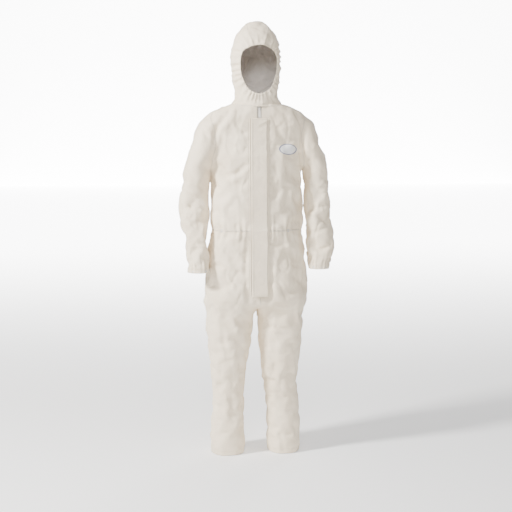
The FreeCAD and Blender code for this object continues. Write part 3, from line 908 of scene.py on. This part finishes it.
open_zip_slot(body)
for s_name in SIDE:
    cuff_x, cuff_y, _, _ = sleeve_form[s_name].at(CUFF_Z[s_name]) * MM
    fold_edge(body, lambda co, s=s_name, cx=cuff_x, cy=cuff_y: abs(co.x - cx) < 0.07
              and abs(co.y - cy) < 0.07 and abs(co.z - CUFF_Z[s] * MM) < 0.006,
              (cuff_x, cuff_y, 0), 2, hem_steps(0.014))
    hem_x, hem_y, _, _ = leg_form[s_name].at(HEM_Z) * MM
    fold_edge(body, lambda co, cx=hem_x: abs(co.x - cx) < 0.09 and co.z < -1.39,
              (hem_x, hem_y, 0), 2, hem_steps(0.016))
fold_edge(hood, lambda co: co.z > 0.02, (0, 0, (FACE_TOP + FACE_LOW) / 2 * MM), 1,
          ((0.0006, 0.0012), (-0.0002, 0.0012), (-0.001, 0.008)))
tuck_neck(hood)


# ------------------------------------------------------------------ seams and stitches
SEAM_SLOT, THREAD_SLOT, PAINTED_SHADE_LINING_SLOT = 1, 2, 3
STITCH_LONG, STITCH_GAP, STITCH_THICK, PATH_STEP = 3.0, 1.6, 0.45, 0.5


class Surface:
    """Vertex arrays of a finished skin, to which seams are added."""

    def __init__(self, obj):
        self.co = coords(obj)
        self.normals = vertex_normals(obj)
        self.rest = read(obj, "rest")
        self.arm = read(obj, "arm") if "arm" in obj.data.attributes else np.zeros(len(self.co))
        self.faces = [tuple(p.vertices) for p in obj.data.polygons]
        self.slots = [0] * len(self.faces)
        self.skin_faces = list(self.faces)
        self.look_at(lambda arm: True)
        self.new = []

    def look_at(self, wanted):
        """Lets the casts and snaps below see only the faces on one side of the armhole."""
        faces = [f for f in self.skin_faces if wanted(self.arm[f[0]])]
        self.tree = BVHTree.FromPolygons([tuple(v) for v in self.co], faces)
        self.kd = KDTree(len(self.co))
        for i in np.nonzero([wanted(a) for a in self.arm])[0]:
            self.kd.insert(self.co[i], int(i))
        self.kd.balance()

    def add(self, verts, normals, faces, slot):
        """Adds loose faces that take their rest place and weights from the skin under them."""
        near = [self.kd.find(v)[1] for v in verts]
        start = len(self.co) + sum(len(n[0]) for n in self.new)
        self.new.append((np.array(verts), np.array(normals), near))
        self.faces += [tuple(start + i for i in f) for f in faces]
        self.slots += [slot] * len(faces)

    def close(self):
        """Takes the added faces' vertices into the arrays."""
        for verts, normals, near in self.new:
            shift = self.rest[near] + (verts - self.co[near])
            self.co = np.concatenate([self.co, verts])
            self.normals = np.concatenate([self.normals, normals])
            self.rest = np.concatenate([self.rest, shift])
            self.arm = np.concatenate([self.arm, self.arm[near]])
        self.new = []

    def cast(self, origin, direction):
        """The first place that a ray meets within a metre, or None."""
        return self.tree.ray_cast(Vector(origin), Vector(direction).normalized(), 1.0)[0]

    def snap(self, point):
        """The nearest place on the skin, and its normal."""
        hit, normal, _, _ = self.tree.find_nearest(Vector(point))
        return hit, normal


def resample(points, step, closed):
    """Points at even steps along a polyline."""
    pts = np.array(points, float)
    if closed:
        pts = np.vstack([pts, pts[:1]])
    leg = np.linalg.norm(np.diff(pts, axis=0), axis=1)
    total = np.concatenate([[0], np.cumsum(leg)])
    n = max(2, int(total[-1] / step))
    at = np.linspace(0, total[-1], n, endpoint=not closed)
    return np.stack([np.interp(at, total, pts[:, k]) for k in range(3)], -1)


def seam(surface, points, closed=False, width=2.6, height=0.9, rows=(0.0,)):
    """A raised seam along points on the skin, with rows of stitches at offsets from its middle."""
    path = resample(points, 0.006, closed)
    path = np.array([surface.snap(p)[0] for p in path])
    normals = np.array([surface.snap(p)[1] for p in path])
    n = len(path)
    ahead = np.roll(path, -1, 0) - np.roll(path, 1, 0)
    if not closed:
        ahead[0], ahead[-1] = path[1] - path[0], path[-1] - path[-2]
    across = np.cross(normals, ahead)
    across /= np.linalg.norm(across, axis=1)[:, None] + 1e-12
    profile = [(-width, -0.4), (-0.55 * width, 0.75 * height), (0, height),
               (0.55 * width, 0.75 * height), (width, -0.4)]
    verts, vn, faces = [], [], []
    for i in range(n):
        for off, up in profile:
            verts.append(path[i] + across[i] * off * MM + normals[i] * up * MM)
            lean = off / width * 0.8
            vec = normals[i] + across[i] * lean
            vn.append(vec / np.linalg.norm(vec))
    k = len(profile)
    for i in range(n if closed else n - 1):
        j = (i + 1) % n
        for m in range(k - 1):
            faces.append((i * k + m, j * k + m, j * k + m + 1, i * k + m + 1))
    surface.add(verts, vn, faces, SEAM_SLOT)
    for row in rows:
        stitches(surface, [p + a * row * MM for p, a in zip(path, across)], closed,
                 height + 0.15)


def stitches(surface, points, closed=False, lift=0.25):
    """A row of thread dashes lying on the skin."""
    path = resample(points, PATH_STEP * MM, closed)
    step = int(round((STITCH_LONG + STITCH_GAP) / PATH_STEP))
    size = int(round(STITCH_LONG / PATH_STEP))
    verts, vn, faces = [], [], []
    for i in range(0, len(path) - size, step):
        a, b = path[i], path[i + size]
        normal = np.array(surface.snap((a + b) / 2)[1])
        d = (b - a) / (np.linalg.norm(b - a) + 1e-12)
        side = np.cross(normal, d)
        base = len(verts)
        lift_a = np.array(surface.snap(a)[0]) + normal * lift * MM
        lift_b = np.array(surface.snap(b)[0]) + normal * lift * MM
        for p in (lift_a, lift_b):
            for u, w in ((-1, 0), (0, 0.7), (1, 0)):
                verts.append(p + (side * u * 0.5 + normal * w) * STITCH_THICK * MM)
                vn.append(normal)
        faces += [(base, base + 1, base + 4, base + 3), (base + 1, base + 2, base + 5, base + 4)]
    if verts:
        surface.add(verts, vn, faces, THREAD_SLOT)


def ring_on(surface, form, z, count, skip=None):
    """Points of the skin round a form at a height."""
    out = []
    for k in range(count):
        p = form.point(np.array(2 * math.pi * k / count), np.array(float(z)))
        if not (skip and skip(p)):
            out.append(surface.snap(p * MM)[0])
    return out


def front_line(surface, x, z0, z1, count):
    """Points of the skin down the front at one x."""
    return [surface.snap((x * MM, front_y(z) * MM, z * MM))[0]
            for z in np.linspace(z0, z1, count)]


def line_on(surface, form, angle, z0, z1):
    """Points of the skin down a form at one angle."""
    return [surface.snap(form.point(np.array(angle), np.array(z)) * MM)[0]
            for z in np.linspace(z0, z1, 60)]


def armhole_points(obj, sign):
    """Points of the armhole seam, in order round it."""
    arm, co = read(obj, "arm"), coords(obj)
    e = edge_pairs(obj)
    e = e[(arm[e[:, 0]] > 0) != (arm[e[:, 1]] > 0)]
    mid = (co[e[:, 0]] + co[e[:, 1]]) / 2
    mid = mid[(mid[:, 0] * sign > 0.1) & (mid[:, 2] > -0.30)]
    a = np.arctan2(mid[:, 1], mid[:, 2] + 0.14)
    out = []
    for k in range(48):
        t = -math.pi + 2 * math.pi * k / 48
        d = np.abs((a - t + math.pi) % (2 * math.pi) - math.pi)
        w = np.exp(-(d / 0.12) ** 2)
        out.append((mid * w[:, None]).sum(0) / w.sum())
    return out


skin = Surface(body)
skin.look_at(lambda arm: arm < 0)
waist_ring = ring_on(skin, torso_form, WAIST_Z, 140, lambda p: abs(p[0]) < 34 and p[1] < 0)
# the waist's seam starts and ends at the gap that is left for the flap
start = max(range(len(waist_ring)), key=lambda i: (waist_ring[i] - waist_ring[i - 1]).length)
waist_ring = waist_ring[start:] + waist_ring[:start]
seam(skin, waist_ring, width=3.4, height=1.3, rows=(-1.5, 1.5))
seam(skin, ring_on(skin, torso_form, -3.5, 100), True, rows=())
for s_name, sign in SIDE.items():
    inner = math.pi if sign > 0 else 0
    skin.look_at(lambda arm: True)
    seam(skin, armhole_points(body, sign), True, width=2.8, height=1.1, rows=(1.6,))
    skin.look_at(lambda arm: arm < 0)
    seam(skin, line_on(skin, torso_form, math.pi - inner, -275, -782), rows=())
    seam(skin, line_on(skin, leg_form[s_name], inner, -815, -1392), rows=())
    stitches(skin, ring_on(skin, leg_form[s_name], HEM_Z + 17, 80), True)
    skin.look_at(lambda arm: arm > 0)
    seam(skin, line_on(skin, sleeve_form[s_name], inner + 0.5 * sign, -290, -632), rows=())
    stitches(skin, ring_on(skin, sleeve_form[s_name], CUFF_Z[s_name] + 15, 60), True)
skin.look_at(lambda arm: arm < 0)
seam(skin, front_line(skin, -37.0, -52, -744, 90), width=2.4, height=1.2)
for x in (-44.0, 39.5):
    stitches(skin, front_line(skin, x, -52, -744, 90))
seam(skin, front_line(skin, 0, -752, -792, 8))
skin.close()

head = Surface(hood)
rim_row = []
for a, b in zip(RIM, np.roll(RIM, -1, 0)):
    t = (b - a) / np.hypot(*(b - a))
    q = a + np.array([t[1], -t[0]]) * 9.5
    rim_row.append(head.snap((q[0] * MM, -0.11, q[1] * MM))[0])
stitches(head, rim_row, True)
for x in (-40, 40):
    arc = []
    for phi in np.linspace(math.radians(118), math.radians(-66), 70):
        hit = head.cast((x * MM, 0.015, 0.15), (0, math.cos(phi), math.sin(phi)))
        if hit is not None and hit.z > 0.012:
            arc.append(hit)
    seam(head, arc, width=2.4)
# the lining, coloured darker and greyer than the cloth as painted shade inside the hood: the hood's faces
# again, turned inward, but for those close to the rim
middle = np.array([head.rest[list(f)].mean(0) for f in head.skin_faces]) / MM
inside = (rim_distance(middle[:, 0], middle[:, 2])[0] > 13) | (middle[:, 1] > -60)
lined = [f for f, chosen in zip(head.skin_faces, inside) if chosen]
head.add(head.co - head.normals * (1.2 * MM), -head.normals, [f[::-1] for f in lined], PAINTED_SHADE_LINING_SLOT)
head.close()


# ------------------------------------------------------------------ pieces
def make_piece(name, surface, keep, bodies=None, ride=None):
    """A piece out of the faces in keep, left in the world frame when bodies are given, else riding on one
    body.
    """
    faces = [surface.faces[i] for i in np.nonzero(keep)[0]]
    used = np.unique(np.concatenate([np.array(f) for f in faces]))
    index = np.full(len(surface.co), -1)
    index[used] = np.arange(len(used))
    obj = new_object(name, surface.co[used], [tuple(index[list(f)]) for f in faces])
    obj.data.polygons.foreach_set("material_index",
                                  [surface.slots[i] for i in np.nonzero(keep)[0]])
    smooth_shade(obj)
    store(obj, "rest_place", surface.rest[used])
    n = surface.normals[used]
    obj.data.normals_split_custom_set_from_vertices([tuple(v) for v in n])
    if bodies:
        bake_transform(obj)
    else:
        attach(obj, ride)
    return obj


rest = skin.rest / MM
arm = skin.arm
rx, _, rz = rest.T
# the shoulder's cloth starts at these distances from the armhole, on the torso's side
g_low = -62 + 27 * smoothstep(rz, -215, -165)

corners = [np.array([f[k % len(f)] for f in skin.faces]) for k in range(4)]
fx, fz, fa, f_low = (sum(values[c] for c in corners) / 4 for values in (rx, rz, arm, g_low))
in_sleeve = (fa > 0) & (fz < -286)
in_shoulder = ~in_sleeve & (fa > f_low)
in_leg = (fa <= 0) & ~in_shoulder & (fz < -878)
in_seat = (fa <= 0) & ~in_shoulder & ~in_leg & (fz < -500)
in_torso = ~(in_sleeve | in_shoulder | in_leg | in_seat)

cloth_pieces = [make_piece("jacket_cloth", skin, in_torso, ride="jacket")]
for s_name, sign in SIDE.items():
    side = fx * sign > 0
    cloth_pieces += [
        make_piece(f"shoulder_cloth_{s_name}", skin, in_shoulder & side,
                   ("jacket", f"upper_sleeve_{s_name}")),
        make_piece(f"sleeve_cloth_{s_name}", skin, in_sleeve & side,
                   (f"upper_sleeve_{s_name}", f"forearm_{s_name}")),
        make_piece(f"seat_cloth_{s_name}", skin, in_seat & side,
                   ("jacket", f"thigh_{s_name}")),
        make_piece(f"leg_cloth_{s_name}", skin, in_leg & side,
                   (f"thigh_{s_name}", f"shin_{s_name}")),
    ]
hood_piece = make_piece("hood_cloth_piece", head, np.ones(len(head.faces), bool),
                        ("jacket", "hood"))
cloth_pieces.append(hood_piece)

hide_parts("front_panel_left", "front_panel_right", "back_panel")
for s_name in SIDE:
    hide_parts(f"sleeve_head_{s_name}",
                f"sleeve_upper_{s_name}")
    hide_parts(f"sleeve_elbow_{s_name}",
                f"sleeve_forearm_{s_name}", f"cuff_hem_{s_name}")
    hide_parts(f"trouser_front_{s_name}",
                f"trouser_seat_{s_name}", f"thigh_fold_{s_name}")
    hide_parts(f"thigh_{s_name}", f"knee_fold_{s_name}",
                f"shin_{s_name}", f"ankle_hem_{s_name}")
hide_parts("hood_neck", "hood_crown", "hood_side_left", "hood_side_right",
            "face_hem", "face_elastic")
for o in (body, hood):
    bpy.data.objects.remove(o)


# ------------------------------------------------------------------ storm flap, zip and patch
TILT = math.atan(FRONT_SLOPE)


def zip_point(x, out, down):
    """A place in metres, by mm across, out from the front and down along the zip."""
    return Vector((x, FRONT_Y_TOP - out * math.cos(TILT) - down * math.sin(TILT),
                   out * math.sin(TILT) - down * math.cos(TILT))) * MM


FLAP_LEFT, FLAP_RIGHT, FLAP_TOP, FLAP_END, FLAP_IN, FLAP_THICK = -34.0, 30.0, 52.0, 748.0, 2.2, 1.2


def build_flap():
    """A strip of folded cloth, sewn down one side, with soft ripples along its free edge."""
    rng = np.random.default_rng(21)
    nx, nz = 20, 260
    u = np.linspace(0, 1, nx)[None, :]
    v = np.linspace(0, 1, nz)[:, None]
    down = FLAP_TOP + v * (FLAP_END - FLAP_TOP)
    wave = np.zeros((nz, nx))
    for _ in range(16):
        centre, tall = rng.uniform(FLAP_TOP, FLAP_END), rng.uniform(9, 34)
        lean = rng.uniform(-18, 18)
        wave += rng.uniform(0.8, 2.2) * np.exp(-((down + lean * u - centre) / tall) ** 2)
    wave *= 0.35 + 0.65 * u
    for c, size in ((76, 1.7), (92, -1.1)):
        wave += size * np.exp(-((down - c + 26 * np.abs(u - 0.45)) / 5.5) ** 2)
    wave = np.clip(wave, -0.9, 4.0) * np.sin(math.pi * np.clip(v * 30, 0, 0.5))
    x = FLAP_LEFT + u * (FLAP_RIGHT - FLAP_LEFT) + 0.8 * np.sin(down / 41.0 + 1.0) * u
    out = FLAP_IN + FLAP_THICK + np.maximum(wave, -0.7)
    rows = []
    for layer in (0, 1):
        for i in range(nz):
            for j in range(nx):
                o = out[i, j] if layer == 0 else out[i, j] - FLAP_THICK + 0.25
                rows.append(zip_point(x[i, j], o, down[i, 0]))
    faces, size = [], nz * nx
    for i in range(nz - 1):
        for j in range(nx - 1):
            a, b, c, d = (i * nx + j, i * nx + j + 1, (i + 1) * nx + j + 1, (i + 1) * nx + j)
            faces += [(a, d, c, b), (a + size, b + size, c + size, d + size)]
    loop = ([j for j in range(nx)] + [i * nx + nx - 1 for i in range(1, nz)]
            + [(nz - 1) * nx + j for j in range(nx - 2, -1, -1)]
            + [i * nx for i in range(nz - 2, 0, -1)])
    for a, b in zip(loop, loop[1:] + loop[:1]):
        faces.append((a, b, b + size, a + size))
    obj = new_object("storm_flap_cloth", rows, faces)
    smooth_shade(obj)
    return obj


flap = build_flap()
store(flap, "rest", coords(flap))
flap_skin = Surface(flap)
for x in (FLAP_LEFT + 5, FLAP_LEFT + 9, FLAP_RIGHT - 4):
    stitches(flap_skin, [zip_point(x, 5.0, d) for d in np.linspace(FLAP_TOP + 4, FLAP_END - 4, 120)],
             lift=0.05)
stitches(flap_skin, [zip_point(x, 5.0, FLAP_TOP + 5) for x in np.linspace(-29, 26, 12)], lift=0.05)
flap_skin.close()
bpy.data.objects.remove(flap)
flap = make_piece("storm_flap_cloth", flap_skin, np.ones(len(flap_skin.faces), bool), ride="flap")
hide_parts("storm_flap")


def build_coil(name, sign):
    """One side's coil: a row of close turns, each a small rounded loop."""
    pitch, n = 1.5, 480
    verts, faces = [], []
    ring = [(0.8, -6.5, 0.0), (1.0, -5.3, 0.25), (2.2, -5.0, 0.4), (3.1, -5.5, 0.5),
            (3.1, -7.5, 0.5), (2.2, -8.0, 0.4), (1.0, -7.7, 0.25)]
    for i in range(n):
        base = len(verts)
        offset = 6.0 + i * pitch + (0.75 if sign > 0 else 0)
        for x, out, lean in ring:
            for half in (-0.42, 0.42):
                verts.append(zip_point(sign * x, out, offset + half + lean))
        m = len(ring)
        for k in range(m):
            a, b = base + 2 * k, base + 2 * ((k + 1) % m)
            faces.append((a, b, b + 1, a + 1))
        faces.append(tuple(base + 2 * k for k in range(m)))
        faces.append(tuple(base + 2 * k + 1 for k in reversed(range(m))))
    return new_object(name, verts, faces)


coils = []
for s_name, sign in SIDE.items():
    coil = build_coil(f"zip_teeth_{s_name}", sign)
    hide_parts(f"zip_coil_{s_name}")
    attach(coil, "jacket")
    coils.append(coil)


def build_patch():
    """The oval patch: a skin on the chest, blank inside its printed border."""
    cx, cz, hx, hz, tilt = 115.0, -172.0, 39.0, 21.5, math.radians(-4)
    rings = [0, .1, .2, .3, .4, .5, .6, .68, .77, .86, .965, 1.0]
    count = 72
    verts, faces, slots = [], [], []
    for r in rings:
        for k in range(count):
            a = 2 * math.pi * k / count
            x, z = r * hx * math.cos(a), r * hz * math.sin(a)
            px = cx + x * math.cos(tilt) - z * math.sin(tilt)
            pz = cz + x * math.sin(tilt) + z * math.cos(tilt)
            hit = skin.cast((px * MM, -0.2, pz * MM), (0, 1, 0))
            verts.append(hit + Vector((0, -1.5 * MM, 0)))
    for i in range(len(rings) - 1):
        for k in range(count):
            j = (k + 1) % count
            faces.append((i * count + k, (i + 1) * count + k, (i + 1) * count + j, i * count + j))
            slots.append(1 if rings[i] == .86 else 0)
    obj = new_object("chest_patch_print", verts, faces)
    obj.data.polygons.foreach_set("material_index", slots)
    smooth_shade(obj)
    return obj


patch = build_patch()
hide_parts("chest_patch")
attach(patch, "jacket")


# ------------------------------------------------------------------ materials
def material(name, colour, rough):
    m = bpy.data.materials.new(name)
    m.use_nodes = True
    bsdf = m.node_tree.nodes["Principled BSDF"]
    bsdf.inputs["Base Color"].default_value = (*colour, 1)
    bsdf.inputs["Roughness"].default_value = rough
    return m, m.node_tree.nodes, m.node_tree.links, bsdf


def noise(m, where, scale, detail=2.0, rough=0.5):
    """A noise texture's factor at a place."""
    t = m.node_tree.nodes.new("ShaderNodeTexNoise")
    for socket, value in (("Scale", scale), ("Detail", detail), ("Roughness", rough)):
        t.inputs[socket].default_value = value
    m.node_tree.links.new(where, t.inputs["Vector"])
    return t.outputs["Fac"]


def colour_ramp(m, factor, dark, light, low=0.0, high=1.0):
    """A colour between dark and light, as the factor goes from low to high."""
    ramp = m.node_tree.nodes.new("ShaderNodeValToRGB")
    for element, colour, place in zip(ramp.color_ramp.elements, (dark, light), (low, high)):
        element.color = (*colour, 1)
        element.position = place
    m.node_tree.links.new(factor, ramp.inputs["Fac"])
    return ramp.outputs["Color"]


def bump(m, height, strength, distance, under=None):
    """A bump node, on top of the normal under it."""
    b = m.node_tree.nodes.new("ShaderNodeBump")
    b.inputs["Strength"].default_value = strength
    b.inputs["Distance"].default_value = distance
    m.node_tree.links.new(height, b.inputs["Height"])
    if under is not None:
        m.node_tree.links.new(under, b.inputs["Normal"])
    return b.outputs["Normal"]


def cloth_material(name, dark, light, from_rest=True, dots=900.0, crumples=0.35):
    """Warm white non-woven: mottled colour, bonded dots and small crumples."""
    m, n, l, bsdf = material(name, light, 0.78)
    bsdf.inputs["Sheen Weight"].default_value = 0.12
    bsdf.inputs["Sheen Roughness"].default_value = 0.6
    bsdf.inputs["Specular IOR Level"].default_value = 0.3
    if from_rest:
        place = n.new("ShaderNodeAttribute")
        place.attribute_name = "rest_place"
        where = place.outputs["Vector"]
    else:
        where = n.new("ShaderNodeTexCoord").outputs["Object"]
    fibre = n.new("ShaderNodeMixRGB")
    fibre.blend_type = "MULTIPLY"
    fibre.inputs["Fac"].default_value = 0.10
    l.new(colour_ramp(m, noise(m, where, 9.0, 4.0), dark, light, 0.25, 0.62),
          fibre.inputs["Color1"])
    l.new(noise(m, where, 700.0), fibre.inputs["Color2"])
    l.new(fibre.outputs["Color"], bsdf.inputs["Base Color"])
    cells = n.new("ShaderNodeTexVoronoi")
    cells.inputs["Scale"].default_value = dots
    l.new(where, cells.inputs["Vector"])
    crease = n.new("ShaderNodeMath")
    crease.operation = "SUBTRACT"
    crease.inputs[1].default_value = 0.5
    l.new(noise(m, where, 26.0, 2.0, 0.4), crease.inputs[0])
    sharp = n.new("ShaderNodeMath")
    sharp.operation = "ABSOLUTE"
    l.new(crease.outputs[0], sharp.inputs[0])
    creased = bump(m, sharp.outputs[0], crumples, 0.012)
    crumpled = bump(m, noise(m, where, 60.0, 3.0, 0.55), crumples, 0.002, creased)
    dotted = bump(m, cells.outputs["Distance"], 0.25, 0.0003, crumpled)
    l.new(dotted, bsdf.inputs["Normal"])
    return m


def plain_material(name, dark, light, rough, scale=300.0, strength=0.1):
    """Moulded or coated surface with a slight mottle in colour and surface."""
    m, n, l, bsdf = material(name, light, rough)
    mottle = noise(m, n.new("ShaderNodeTexCoord").outputs["Object"], scale)
    l.new(colour_ramp(m, mottle, dark, light), bsdf.inputs["Base Color"])
    l.new(bump(m, mottle, strength, 0.0003), bsdf.inputs["Normal"])
    return m


cloth = cloth_material("nonwoven_cloth", (0.81, 0.69, 0.52), (0.92, 0.80, 0.62))
seam_cloth = cloth_material("seam_cloth", (0.72, 0.62, 0.485), (0.82, 0.725, 0.58), crumples=0.15)
# the hood's inner sheet: darker and greyer than the cloth, painted shade for the inside of the hood
painted_shade_lining = cloth_material("hood_lining_painted_shade", (0.65, 0.60, 0.555), (0.74, 0.69, 0.64), crumples=0.2)
thread = plain_material("thread", (0.62, 0.58, 0.52), (0.76, 0.73, 0.68), 0.6, scale=2000)
flap_cloth = cloth_material("flap_cloth", (0.81, 0.69, 0.52), (0.92, 0.80, 0.62))
elastic = plain_material("elastic_band", (0.55, 0.52, 0.47), (0.74, 0.71, 0.66), 0.75, scale=900,
                         strength=0.5)
tape = cloth_material("zip_tape_weave", (0.60, 0.56, 0.50), (0.72, 0.68, 0.61), False, 1400.0, 0.1)
coil_mat = plain_material("zip_coil_nylon", (0.66, 0.63, 0.57), (0.78, 0.75, 0.69), 0.4)
metal = plain_material("slider_enamel", (0.60, 0.58, 0.53), (0.74, 0.72, 0.67), 0.35)
tab = plain_material("tab_plastic", (0.66, 0.63, 0.58), (0.76, 0.73, 0.68), 0.4)
glue = plain_material("adhesive_strip", (0.62, 0.58, 0.46), (0.72, 0.68, 0.56), 0.25)
patch_white = plain_material("patch_white", (0.74, 0.74, 0.74), (0.80, 0.80, 0.81), 0.5)
patch_ink = plain_material("patch_ink", (0.030, 0.045, 0.13), (0.045, 0.065, 0.18), 0.5)
label = plain_material("size_tab", (0.72, 0.71, 0.68), (0.80, 0.79, 0.76), 0.7, strength=0.3)

for o in cloth_pieces:
    for m in (cloth, seam_cloth, thread):
        o.data.materials.append(m)
# the inner sheet's darker, greyer colour is painted shade inside the hood
hood_piece.data.materials.append(painted_shade_lining)
for m in (flap_cloth, seam_cloth, thread):
    flap.data.materials.append(m)
for coil in coils:
    coil.data.materials.append(coil_mat)
for m in (patch_white, patch_ink):
    patch.data.materials.append(m)

NODE_MATERIALS = {"zip_tape": tape, "zip_slider": metal, "zip_top": metal, "zip_bottom": metal,
                  "pull_tab": tab, "flap_adhesive": glue, "neck_tab": label}
for name, node in nodes.items():
    chosen = elastic if "elastic" in name else next(
        (m for key, m in NODE_MATERIALS.items() if name.startswith(key)), seam_cloth)
    node.data.materials.clear()
    node.data.materials.append(chosen)

# ------------------------------------------------------------------ floor, light and camera
AZIMUTH, DISTANCE, CAMERA_Z, AIM_Z = math.radians(-8), 4.2, -0.13, -0.60
FLOOR_Z, FAR, SCREEN_HALF, SCREEN_TOP = -1.4025, 25.0, 7.8, 4.5
NEAR_GLOW, FAR_GLOW = 0.34, 9.0


def build_stage():
    """A pale floor that runs back to a white screen, both just wider than the camera's view."""
    side = FAR * math.tan(-AZIMUTH)
    left, right = side - SCREEN_HALF, side + SCREEN_HALF
    edge = [(-3.0, -3.0), (3.0, -3.0), (3.0, 2.0), (right, FAR), (left, FAR), (-3.0, 2.0)]
    ground = new_object("studio_floor", [(x, y, FLOOR_Z) for x, y in edge], [tuple(range(6))])
    screen = new_object("studio_screen", [(x, FAR, z) for x, z in (
        (left, FLOOR_Z), (right, FLOOR_Z), (right, SCREEN_TOP), (left, SCREEN_TOP))],
        [(0, 1, 2, 3)])
    for obj in (ground, screen):
        smooth_shade(obj)
    return ground, screen


def white_material(name, near, far):
    """White paper lit from within, more brightly further back."""
    m, n, l, bsdf = material(name, (0.86, 0.86, 0.86), 0.9)
    place = n.new("ShaderNodeTexCoord")
    apart = n.new("ShaderNodeSeparateXYZ")
    ramp = n.new("ShaderNodeMapRange")
    ramp.interpolation_type = "SMOOTHSTEP"
    for socket, value in (("From Min", 0.2), ("From Max", 9.0), ("To Min", near), ("To Max", far)):
        ramp.inputs[socket].default_value = value
    l.new(place.outputs["Object"], apart.inputs[0])
    l.new(apart.outputs["Y"], ramp.inputs["Value"])
    l.new(ramp.outputs["Result"], bsdf.inputs["Emission Strength"])
    bsdf.inputs["Emission Color"].default_value = (1, 1, 1, 1)
    return m


paper = white_material("studio_paper", NEAR_GLOW, FAR_GLOW)
for o in build_stage():
    o.data.materials.append(paper)

world = bpy.data.worlds.new("studio")
bpy.context.scene.world = world
world.use_nodes = True
world.node_tree.nodes["Background"].inputs["Color"].default_value = (1.0, 0.98, 0.96, 1)
world.node_tree.nodes["Background"].inputs["Strength"].default_value = 0.36


def area_light(name, place, size, power, target=(0, 0, -0.5), colour=(1, 1, 1)):
    data = bpy.data.lights.new(name, "AREA")
    data.energy, data.size, data.color = power, size, colour
    obj = bpy.data.objects.new(name, data)
    bpy.context.scene.collection.objects.link(obj)
    obj.location = place
    obj.rotation_euler = (Vector(target) - obj.location).to_track_quat("-Z", "Y").to_euler()


area_light("key_light", (-3.1, -1.2, 1.7), 0.5, 430, colour=(1.0, 0.985, 0.96))
area_light("fill_light", (2.4, -2.6, 0.4), 1.6, 20)
area_light("front_light", (-0.9, -4.0, 1.5), 1.2, 100, (0, 0, -0.1))
area_light("back_light", (1.8, 3.0, 1.9), 1.0, 60)

camera_data = bpy.data.cameras.new("camera")
camera_data.sensor_width = 36
camera_data.lens = 73.8
camera = bpy.data.objects.new("camera", camera_data)
bpy.context.scene.collection.objects.link(camera)
camera.location = (DISTANCE * math.sin(AZIMUTH), -DISTANCE * math.cos(AZIMUTH), CAMERA_Z)
camera.rotation_euler = (Vector((0, 0, AIM_Z)) - camera.location).to_track_quat("-Z", "Y").to_euler()
bpy.context.scene.camera = camera
